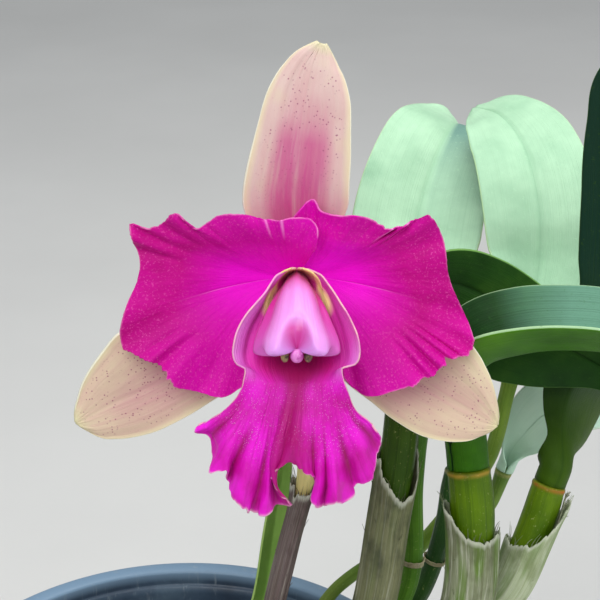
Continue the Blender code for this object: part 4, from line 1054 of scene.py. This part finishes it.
def petal(root, rim, pleats, teeth, turn, seed):
    """A petal spread like a fan from its root to its rim, crowned, pleated and ruffled."""
    base = np.array(root, float)
    edge = curve_through(rim)
    toothed = graph(teeth)

    def shape(along, across):
        place = (across + 1) / 2
        reach = PETAL_CLAW + (1 - PETAL_CLAW) * along
        goal = lerp(softened(edge, place), edge(place), reach ** 3)
        nick = torn(RIM_NICKS, place, seed)
        reach = reach * (1 + nick * toothed(place) * eased(along, 0.88, 1.0))
        flat = base + (goal - base) * np.stack([reach ** 0.85, reach ** 1.3, reach], -1)
        height = base[2] + (goal[..., 2] - base[2]) * reach ** PETAL_RISE
        height += PETAL_CROWN * np.sin(math.pi * np.minimum(reach, 1)) * reach
        height += PETAL_RUFFLE * along ** 4 * np.sin(2 * math.pi * PETAL_WAVES * place + turn)
        height += waved(PETAL_RIPPLES, place, along, seed + 2)
        height += pleated(pleats, place, 0.6 + 0.4 * along) * eased(along, 0.58, 0.97)
        flat[..., 2] = height
        return bloom_place(flat)
    return shape


def petal_piece(name, root, rim, pleats, teeth, turn, seed, vein_at, crease_highlights_at, bright):
    edge = curve_through(rim)
    places = np.linspace(0, 1, 600)

    def nearest(point):
        return float(places[np.argmin(np.linalg.norm(edge(places)[:, :2] - np.array(point), axis=1))])
    vein = nearest(vein_at)
    crease_highlights = [nearest(point) for point in crease_highlights_at]
    shape = petal(root, rim, pleats, teeth, turn, seed)

    def grooved(along, across):
        groove = hump((across + 1) / 2, vein, 0.02) * eased(along, 0.05, 0.3) * (1 - eased(along, 0.4, 0.9))
        return shape(along, across) + np.array((0.0, VEIN_DEPTH, 0.0)) * groove[..., None]
    looks = petal_look(name, vein, crease_highlights, bright)
    piece = woven(name, grooved, steps(90, crowd=1.3), 341, looks, [name], flip=not bright)
    thicken(piece, PETAL_THICKNESS)


def sepal_piece(name, midline, widths, seed):
    upright = name == "sepal_dorsal"
    facing = turned_facing((0, 0, 1), (0, 0, 1))
    plain = blade(curve_through(midline), graph(widths), graph(SEPAL_FOLD), facing)
    first_half, second_half = [graph(half) for half in SEPAL_HALVES.get(name, (EVEN_HALF, EVEN_HALF))]

    def shape(along, across):
        share = np.where(across > 0, second_half(along), first_half(along))
        side = np.abs(across)
        if upright:
            points = plain(along, across * share)
        else:
            points = plain(along * LATERAL_REACH, across * share * dome((1 - along) / 0.08, 0.002))
        lift = 0.9 * ripples(across * 1.6 + 3, along * 4.5, seed) * eased(side, 0.2, 1.0)
        lift += 0.12 * ripples(across * 16, along * 5, seed + 1)
        lift -= 0.35 * hump(across, 0, 0.06) * (1 - eased(along, 0.7, 1.0))
        lift -= 1.1 * eased(side, 0.55, 1.0)
        points[..., 2] += lift
        return bloom_place(points)
    piece = woven(name, shape, 110, 61, sepal_look(name, upright), [name])
    thicken(piece, SEPAL_THICKNESS)


def lip_tube():
    """The part of the lip that wraps the column, closed above it at the back."""
    last = len(LIP_TUBE) - 1
    rows = graphs([(index / last, *row) for index, row in enumerate(LIP_TUBE)])

    def shape(along, across):
        height, depth, lean, radius, turn = [row(along) for row in rows]
        turn = turn + (179 - turn) * (1 - eased(along, 0.22, 0.4))
        angle = np.radians(turn) * across
        lean = np.radians(lean)
        up = np.stack([0 * lean, np.cos(lean), np.sin(lean)], -1)
        size = radius * (1 - 0.4 * (1 - eased(along, 0.0, 0.2)) - 0.1 * hump(along, 0.2, 0.07))
        middle = np.stack([size * np.sin(angle), height, depth], -1)
        return middle + up * (radius - size * np.cos(angle))[..., None]
    return shape


def lip_margin():
    left, right, height, depth = graphs(LIP_MARGIN)

    def margin(along, side):
        out = np.where(side < 0, -left(along), right(along))
        return np.stack([out, height(along), depth(along)], -1)
    return margin


def lip_frill(reach, across):
    """Height of the folds and ruffles of the lobes over their spread surface."""
    place = (across + 1) / 2
    swell = np.sin(math.pi * reach)
    frill = LIP_RUFFLE * reach ** 2 * np.sin(2 * math.pi * LIP_WAVES * place)
    frill += 1.3 * pleated(LIP_PLEATS, place) * eased(reach, 0.42, 1.0)
    frill += waved(LIP_RIPPLES, place, reach, LIP_SEED + 2)
    keel = 0.8 * hump(np.abs(across), 0.1, 0.05) * swell - 0.8 * hump(across, 0, 0.055) * swell
    return frill + keel + LIP_LOBE_CROWN * swell * (1 - across * across)


def lip_shape():
    tube_part, margin, rim = lip_tube(), lip_margin(), curve_through(LIP_RIM)

    def spread(along, across):
        wrapped = tube_part(np.minimum(along / LIP_TUBE_SHARE, 1.0), across)
        reach = np.clip((along - LIP_TUBE_SHARE) / (1 - LIP_TUBE_SHARE), 0.0, 1.0)
        place = (across + 1) / 2
        goal = lerp(softened(rim, place), rim(place), reach ** 5)
        teeth = torn(LIP_NICKS, place, LIP_SEED) * eased(reach, 0.85, 1.0)
        flat = lerp(wrapped, goal, reach * (1 + teeth))
        tucks = eased(reach, 0.82, 1.0) * eased(np.minimum(place, 1 - place), 0.08, 0.16)
        flat[..., 0] -= 3.4 * hump(place, 0.42, 0.05) * np.sin(math.pi * reach ** 1.6)
        for axis, tuck in enumerate(LIP_TUCKS):
            flat[..., axis] += tucks * torn([tuck], place, LIP_SEED + 6 + axis)
        return flat, reach

    def shape(along, across):
        flat, reach = spread(along, across)
        side = np.where(across < 0, -1.0, 1.0)
        edge, _ = spread(along, side)
        pull = eased(np.abs(across), 0.5, 1.0) * eased(along, 0.16, 0.2) * (1 - eased(along, 0.9, 1.0))
        flat = flat + (margin(along, side) - edge) * pull[..., None]
        open_part = eased(along, 0.2, 0.26) * (1 - eased(along, 0.42, 0.5))
        crease = hump(np.abs(across), 0.73, 0.06) * open_part * np.where(across < 0, 1.2, 0.5)
        flat[..., 2] += lip_frill(reach, across) - 1.3 * crease
        flat[..., 0] += 0.5 * crease * side
        return bloom_place(flat)
    return shape


def lip_piece():
    painted_valley_shade = [(centre, width) for centre, width, high in LIP_PLEATS if high < 0]
    along = np.concatenate([np.linspace(0, LIP_TUBE_SHARE, 76)[:-1], steps(84, LIP_TUBE_SHARE, 1.0, 1.3)])
    thicken(woven("lip", lip_shape(), along, 301, lip_look("lip", painted_valley_shade), ["lip"]), LIP_THICKNESS)


def column_piece():
    line = curve_through(COLUMN_LINE)
    width, back, under = graphs(COLUMN_SECTIONS)
    wing = graph(COLUMN_WINGS)

    def shape(along, across):
        turn = math.pi * across
        way = heading(line, along)
        up = np.stack([0 * along, way[..., 2], -way[..., 1]], -1)
        side = np.sign(np.cos(turn))
        end = eased(along, 0.6, 0.95)
        rounding = dome((1 - along) / 0.1, 0.001)
        stout = 1 + 0.16 * eased(along, 0.0, 0.15) * (1 - eased(along, 0.45, 0.7))
        tall = np.where(np.sin(turn) > 0, back(along), under(along)) * stout
        centred = hump(turn, math.pi / 2, 0.3)
        cheek = np.exp(-((turn - 0.72) / 0.5) ** 4) + np.exp(-((turn - 2.42) / 0.5) ** 4)
        ridge = 0.9 * centred * (1 - eased(along, 0.74, 0.88))
        groove = 1.7 * end * hump(turn, math.pi / 2, 0.24) * eased(along, 0.78, 0.92)
        flange = hump(np.abs(turn), math.pi / 2 * (1 - side), 0.16)
        high = (tall * np.sin(turn) + ridge + 0.9 * end * cheek - groove) * rounding
        forward = rounding * end * (6.0 * cheek - 1.6 * centred + 3.6 * flange)
        points = line(along) + way * forward[..., None]
        points += up * (high - 1.6 * flange * eased(along, 0.5, 0.95))[..., None]
        points[..., 0] += np.abs(np.cos(turn)) ** 0.85 * side * width(along) * stout * rounding
        points[..., 0] += flange * side * wing(along) * np.sqrt(rounding)
        return bloom_place(points)
    along = np.concatenate([np.linspace(0, 0.88, 50)[:-1], steps(26, 0.88, 1.0, 1.6)])
    woven("column", shape, along, 161, column_look("column"), ["column"], closed=True)


def bead(name, centre, radii, groove, look):
    """A small rounded body with a groove down its middle."""
    def shape(along, across):
        turn, tilt = math.pi * across, math.pi * (along - 0.5)
        size = 1 - groove * np.exp(-(np.sin(turn / 2 + math.pi / 2) ** 2) / 0.02) * np.cos(tilt)
        size = size + 0.05 * ripples(across * 4 + 9, along * 4, 7)
        ball = np.stack([np.cos(tilt) * np.sin(turn), np.sin(tilt), np.cos(tilt) * -np.cos(turn)], -1)
        return bloom_place(np.array(centre, float) + ball * np.array(radii) * size[..., None])
    woven(name, shape, 25, 41, look, [name], closed=True)


def bloom():
    for name, plan in PETALS.items():
        petal_piece(name, *plan)
    for name, plan in SEPALS.items():
        sepal_piece(name, *plan)
    lip_piece()
    column_piece()
    anther = bead_look("anther", (222, 126, 206), (176, 50, 150))
    bead("anther_cap", ANTHER_CENTRE, ANTHER_RADII, ANTHER_GROOVE, anther)
    pollen = bead_look("pollen", (176, 152, 96), (66, 34, 36))
    for name, centre in POLLEN_CENTRES.items():
        bead(name, centre, POLLEN_RADII, POLLEN_GROOVE, pollen)


def stalk():
    base = np.array([(0, 0.4, OVARY_FRONT - 7), (0, 0, OVARY_FRONT)], float)
    path = curve_through([PEDICEL_FOOT] + PEDICEL_LINE + list(bloom_place(base)))
    radii = graph(PEDICEL_RADII)

    def radius(along, turn):
        ribs = np.cos(OVARY_RIBS * turn + 5 * along) * eased(along, 0.55, 0.75)
        return radii(along) * (1 + OVARY_RIB_HEIGHT * ribs)
    tube("ovary_stalk", path, radius, np.linspace(0, 1, 90), 36, stalk_look("flower_stalk"),
         ["ovary_stalk"])


# Leaves, growths and sheaths

def stem(growth):
    """A growth's path and its radius along the way."""
    points, radii = GROWTHS[growth]
    return curve_through(points), graph(radii)


def blade(path, width, folds, facing):
    """The surface of a leaf or sepal: halves that rise from a rounded midrib by the fold angle."""
    def shape(along, across):
        way = heading(path, along)
        side = unit(np.cross(way, facing(along)))
        up = np.cross(side, way)
        fold = np.radians(folds(along))
        rise = (np.hypot(across, KEEL_ROUNDING) - KEEL_ROUNDING) * width(along)
        spread = across * width(along) * np.cos(fold)
        return path(along) + side * spread[..., None] + up * (rise * np.sin(fold))[..., None]
    return shape


def leaf_piece(name, growth, points, width, fold, tip_fold, first, last):
    carrier, size = stem(growth)
    way = heading(carrier, np.array(1.0))
    side = unit(np.cross(way, np.array(first, float)))
    seat = carrier(np.array(1.0)) + way * LEAF_SEAT - np.cross(side, way) * KEEL_SETBACK
    easing = 0.3 * BASE_FOLD + 0.7 * fold
    folds = graph([(0, BASE_FOLD), (BASE_FOLD_SHARE, easing), (0.5, fold), (1, tip_fold)])
    path = curve_through([seat, seat + way * LEAF_NECK] + points)
    outline = graph(LEAF_SHAPE)
    facing = turned_facing(first, last)
    plain = blade(path, lambda along: outline(along) * width, folds, facing)
    grip = LEAF_GRIP * float(size(1.0))
    upper, lower, seed = LEAF_SIDES[name]
    closed, opened = LEAF_ROLLS.get(name, USUAL_ROLL)
    left_half, right_half = [graph(half) for half in LEAF_HALVES.get(name, (EVEN_HALF, EVEN_HALF))]

    def shape(along, across):
        ways = heading(path, along)
        sides = unit(np.cross(ways, facing(along)))
        ups = np.cross(sides, ways)
        bend = 0.07 * width * eased(np.abs(across), 0.3, 1.0) * eased(along, 0.25, 0.5)
        wave = 0.7 * ripples(across * 1.3 + 4, along * 7, seed) * np.abs(across) * eased(along, 0.2, 0.5)
        rib = 0.7 * hump(across, 0, 0.045) * eased(along, 0.12, 0.3) * (1 - eased(along, 0.9, 1.0))
        share = np.where(across > 0, right_half(along), left_half(along))
        open_blade = plain(along, across * share) + ups * (wave - bend - rib)[..., None]
        unrolled = eased(along, closed, opened - 0.02)
        half = (math.pi - 0.05) * grip * (1 - unrolled) ** 1.8 + outline(along) * width * share * unrolled
        curl = grip * (1 + 2.6 * unrolled ** 2)
        angle = half * across / curl
        rise = (KEEL_SETBACK - grip) * (1 - unrolled) + curl * (1 - np.cos(angle))
        rolled = path(along) + sides * (curl * np.sin(angle))[..., None] + ups * rise[..., None]
        rolled = rolled - ways * (FOOT_OVERLAP * (1 - eased(along, 0.0, 0.03)))[..., None]
        return lerp(rolled, open_blade, eased(along, closed + 0.03, opened))
    looks = [leaf_look(name + "_upper", *upper), leaf_look(name + "_under", *lower)]
    thicken(woven(name, shape, 100, 41, looks, [name]), LEAF_THICKNESS, back=1)


def young_leaf():
    facing = turned_facing((0.2, -1.0, 0), (0.1, -1.0, 0.2))
    folds = graph([(0, YOUNG_LEAF_FOLD), (1, YOUNG_LEAF_FOLD)])
    shape = blade(curve_through(YOUNG_LEAF_LINE), graph(YOUNG_LEAF_WIDTHS), folds, facing)
    looks = [leaf_look("young_upper", *STRAP), leaf_look("young_under", *UNDER)]
    piece = woven("young_leaf", shape, 100, 31, looks, ["young_leaf"])
    thicken(piece, YOUNG_LEAF_THICKNESS, back=1)


def cane(name, look):
    path, size = stem(name)
    rings = CANES[name][3] + (TOP_RING,)

    def radius(along, turn):
        swell = sum(RING_SWELL * hump(along, ring, RING_WIDTH) for ring in rings)
        ribs = RIB_HEIGHT * np.cos(RIB_COUNT * turn + 2 * along) + 0.02 * ripples(turn * 2, along * 16, 63)
        return size(along) * (1 + swell + ribs)
    tube(name, path, radius, np.linspace(0, 1, 170), 36, look, [name])


def cane_rings(name):
    """Dry scars round the cane where older sheaths came off."""
    path, size = stem(name)
    look = paper_look(name + "_scars", *SCAR_LOOK)
    for number, ring in enumerate(CANES[name][3]):
        def radius(along, turn):
            ragged = 1 + ripple(turn / math.pi * 12 + 20, 71 + number)
            return size(along) * 1.07 + 0.25 + 0.35 * ragged * eased(along, ring, ring + 0.008)
        along = np.linspace(ring - 0.006, ring + 0.008, 7)
        piece = tube(f"{name}_scar_{number}", path, radius, along, 48, look, [])
        thicken(piece, SCAR_THICKNESS)


def outward(path):
    """The direction away from a path's middle at any share of its length and angle from the front."""
    fine = np.linspace(0, 1, 200)
    sides = frames(path, fine)

    def at(share, turn):
        right, front = [np.stack([np.interp(share, fine, side[:, item]) for item in range(3)], -1)
                        for side in sides]
        return around(unit(right), unit(front), turn)
    return at


def sheath(name, growth, start, end, dip, side, slack, seed):
    """A torn papery tube round a growth, its mouth cut down on one side."""
    path, size = stem(growth)
    look = paper_look(name, *SHEATH_LOOKS[name])
    round_at = outward(path)

    def shape(along, across):
        turn = math.pi * across
        notch = (0.5 + 0.5 * np.cos(turn - math.radians(side))) ** 3
        ragged = 0.012 * ripple(across * 9 + 12, seed) + 0.006 * ripple(across * 40 + 50, seed + 1)
        share = start + (end - dip * notch + ragged - start) * along
        fold = 0.35 * ripples(across * 11 + 13, along * 3, seed + 2)
        fold += 0.12 * ripples(across * 40 + 41, along * 5, seed + 3)
        flare = 0.9 * eased(along, 0.86, 1.0) * (0.6 + ripple(across * 6 + 8, seed + 4))
        radius = size(share) * 1.03 + slack + 0.35 + fold * eased(along, 0.02, 0.3) + flare
        return path(share) + round_at(share, turn) * radius[..., None]
    piece = woven(name, shape, 64, 101, look, [name], closed=True)
    thicken(piece, SHEATH_THICKNESS)
    threads(name + "_threads", shape, look, seed)


def threads(name, surface, look, seed):
    """Loose fibres that stand off a sheath's torn mouth and its side."""
    rng = np.random.default_rng(seed)
    points, faces = [], []
    for _ in range(THREAD_COUNT):
        across = rng.uniform(-1, 1)
        along = 1.0 if rng.random() < MOUTH_THREADS else rng.uniform(0.55, 0.97)
        root, below, beside = surface(np.array([along, along - 0.03, along]),
                                      np.array([across, across, across + 0.02]))
        up, sideways = unit(root - below), unit(beside - root)
        out = np.cross(sideways, up)
        length, bend, lean = rng.uniform(1.2, 4.6), rng.uniform(-0.5, 0.5), rng.uniform(0.05, 0.55)
        for step in np.linspace(0, 1, 6):
            middle = root + (up * step + out * lean * step ** 1.6 + sideways * bend * step ** 2) * length
            half = sideways * THREAD_HALF_WIDTH * (1 - 0.75 * step)
            points += [middle - half, middle + half]
            if step > 0:
                last = len(points)
                faces.append((last - 4, last - 3, last - 1, last - 2))
    mesh = bpy.data.meshes.new(name)
    mesh.from_pydata((np.array(points) * MM).tolist(), [], faces)
    mesh.uv_layers.new(name="grain")
    mesh.shade_smooth()
    thicken(new_piece(name, mesh, look, []), THREAD_THICKNESS)


def dry_strip():
    """What is left of the old sheath up the outer side of the right growth."""
    path, size = stem("growth_right")
    round_at = outward(path)
    look = paper_look("dry_strip", *STRIP_LOOK)

    def shape(along, across):
        share = 0.7 + 0.26 * along
        ragged = 1 + 0.5 * ripple(along * 22, 97)
        turn = np.radians(80 + 17 * across * ragged * (1 - 0.6 * along))
        radius = size(share) * 1.02 + 0.4 + 0.5 * np.abs(across)
        return path(share) + round_at(share, turn) * radius[..., None]
    thicken(woven("dry_strip", shape, 70, 13, look, []), STRIP_THICKNESS)
    threads("dry_strip_threads", shape, look, 131)


def plant():
    for name, leaf in LEAVES.items():
        leaf_piece(name, *leaf)
    young_leaf()
    for name in GROWTHS:
        cane(name, cane_look(name, *CANES[name][:3]))
        if name in SCARRED:
            cane_rings(name)
    for number, (name, plan) in enumerate(SHEATHS.items()):
        sheath(name, *plan, 91 + 7 * number)
    dry_strip()


# Pot, bark and roots

def pot():
    base, rim, top = POT_BASE_RADIUS, POT_RIM_RADIUS, POT_HEIGHT
    inner, collar = rim - POT_RIM_WIDTH, top - POT_COLLAR_HEIGHT
    profile = [
        # the floor and the inner wall, up to the flat top of the rim
        (0, POT_FLOOR), (base - 4, POT_FLOOR), (base - 2.2, POT_FLOOR + 0.7), (base - 1.5, POT_FLOOR + 2.5),
        (inner - 2.2, collar), (inner - 2.0, collar + 5), (inner - 1.4, top - 6.6),
        (inner - 0.9, top - 6.2), (inner - 0.2, top - 6.1), (inner, top - 5.4), (inner, top - 1.2),
        (inner + 0.35, top - 0.4),
        (inner + 1.2, top), (rim - 1.2, top), (rim - 0.35, top - 0.35), (rim, top - 1.2),
        # the collar, the outer wall and the underside
        (rim + 0.1, top - 5), (rim + 0.2, collar + 0.8), (rim - 0.4, collar), (inner + 1.6, collar - 0.6),
        (inner + 0.7, collar - 1.6), (inner + 0.2, collar - 8), (inner - 2.6, collar - 24),
        (base + 5.2, 28), (base + 4.4, 26), (base + 0.8, 2.4), (base + 0.2, 0.7), (base - 0.8, 0),
        (base - 5, 0), (base - 6, 1.0), (0, 1.0),
    ]
    turned = bmesh.new()
    corners = [turned.verts.new((radius * MM, 0, height * MM)) for radius, height in profile]
    edges = [turned.edges.new(pair) for pair in zip(corners, corners[1:])]
    bmesh.ops.spin(turned, geom=corners + edges, cent=(0, 0, 0), axis=(0, 0, 1), angle=2 * math.pi,
                   steps=POT_SIDES, use_merge=True)
    bmesh.ops.remove_doubles(turned, verts=turned.verts, dist=0.01 * MM)
    bmesh.ops.recalc_face_normals(turned, faces=turned.faces)
    mesh = kneaded("pot", turned)
    mesh.shade_smooth()
    piece = new_piece("pot_turned", mesh, pot_look("pot_plastic"), ["pot"])
    for number in range(DRAIN_COUNT):
        drain(piece, f"drain_{number}", 2 * math.pi * number / DRAIN_COUNT)


def drain(piece, name, turn):
    """A drainage hole cut through the pot's floor."""
    centre = Vector((DRAIN_CIRCLE * math.cos(turn), DRAIN_CIRCLE * math.sin(turn), 0)) * MM
    plug = bmesh.new()
    radius, depth = DRAIN_RADIUS * MM, 4 * POT_FLOOR * MM
    bmesh.ops.create_cone(plug, cap_ends=True, segments=32, radius1=radius, radius2=radius, depth=depth,
                          matrix=Matrix.Translation(centre))
    cutter = added(name, kneaded(name, plug))
    hole = piece.modifiers.new(name, "BOOLEAN")
    hole.operation = "DIFFERENCE"
    hole.object = cutter
    bpy.context.view_layer.update()
    with bpy.context.temp_override(object=piece, active_object=piece):
        bpy.ops.object.modifier_apply(modifier=hole.name)
    bpy.data.objects.remove(cutter)


def pot_inside(height):
    """Radius of the pot's inner wall."""
    low, high = POT_FLOOR + 2.5, POT_HEIGHT - POT_COLLAR_HEIGHT
    base, top = POT_BASE_RADIUS - 1.5, POT_RIM_RADIUS - POT_RIM_WIDTH - 2.2
    return base + (top - base) * (height - low) / (high - low)


def chip(bark, draw, centre, size):
    """One chip: a rough block, its corners pushed about."""
    block = bmesh.ops.create_cube(bark, size=1.0)["verts"]
    turn = Matrix.Rotation(draw.uniform(0, 6.3), 3, "Z") @ Matrix.Rotation(draw.uniform(-0.5, 0.5), 3, "X")
    stretch = Vector((size, size * draw.uniform(0.5, 0.8), size * draw.uniform(0.25, 0.42)))
    for corner in block:
        pushed = Vector([axis * (1 + draw.uniform(-0.24, 0.24)) for axis in corner.co])
        corner.co = (turn @ Vector([pushed[axis] * stretch[axis] for axis in range(3)]) + centre) * MM


def bark():
    draw = np.random.default_rng(CHIP_SEED)
    chips = bmesh.new()
    wall = pot_inside(BARK_TOP)
    for number in range(CHIP_COUNT):
        turn = number * GOLDEN_ANGLE
        away = (wall - CHIP_MARGIN) * math.sqrt((number + 0.5) / CHIP_COUNT)
        size = draw.uniform(*CHIP_LENGTH)
        away = min(away, wall - 0.62 * size)
        lift = draw.uniform(*CHIP_LIFT)
        chip(chips, draw, Vector((away * math.cos(turn), away * math.sin(turn), BARK_TOP + lift)), size)
    bmesh.ops.bevel(chips, geom=list(chips.edges), offset=CHIP_BEVEL * MM, segments=1, affect="EDGES")
    new_piece("bark_chips", kneaded("bark_chips", chips), bark_look("bark_chips"), [])
    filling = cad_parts["bark"].data.materials
    filling.clear()
    filling.append(bark_look("bark_filling"))


def roots():
    look = root_look("root")
    size = graph(ROOT_RADII)
    for number, (name, points) in enumerate(ROOTS.items()):
        def radius(along, turn):
            return size(along) * (1 + 0.07 * ripples(turn, along * 18, 81 + number))
        tube(name, curve_through(points), radius, np.linspace(0, 1, 90), 24, look, [name])


# Stage

def stage():
    ground = bmesh.new()
    bmesh.ops.create_grid(ground, x_segments=40, y_segments=40, size=FLOOR_REACH)
    mesh = kneaded("floor", ground)
    mesh.materials.append(floor_look("floor"))
    added("floor", mesh)
    world = bpy.data.worlds.new("studio")
    world.use_nodes = True
    background = world.node_tree.nodes["Background"].inputs
    background["Color"].default_value = SKY_COLOUR
    background["Strength"].default_value = SKY_STRENGTH
    bpy.context.scene.world = world
    for name, light in LIGHTS.items():
        soft_light(name, *light)


def soft_light(name, place, goal, size, power):
    lamp = bpy.data.lights.new(name, "AREA")
    lamp.shape = "DISK"
    lamp.size = size
    lamp.energy = power
    light = added(name, lamp)
    light.location = place
    light.rotation_euler = (Vector(goal) - Vector(place)).to_track_quat("-Z", "Y").to_euler()


def camera():
    lens = bpy.data.cameras.new("camera")
    lens.lens = FOCAL_LENGTH
    lens.sensor_width = SENSOR_WIDTH
    lens.clip_start = 0.01
    eye = added("camera", lens)
    eye.location = EYE
    eye.rotation_euler = (math.radians(90 - LOOKING_DOWN), 0, 0)
    bpy.context.scene.camera = eye


def main():
    bpy.context.scene.view_settings.view_transform = "Standard"
    camera()
    stage()
    pot()
    bark()
    roots()
    plant()
    stalk()
    bloom()


main()
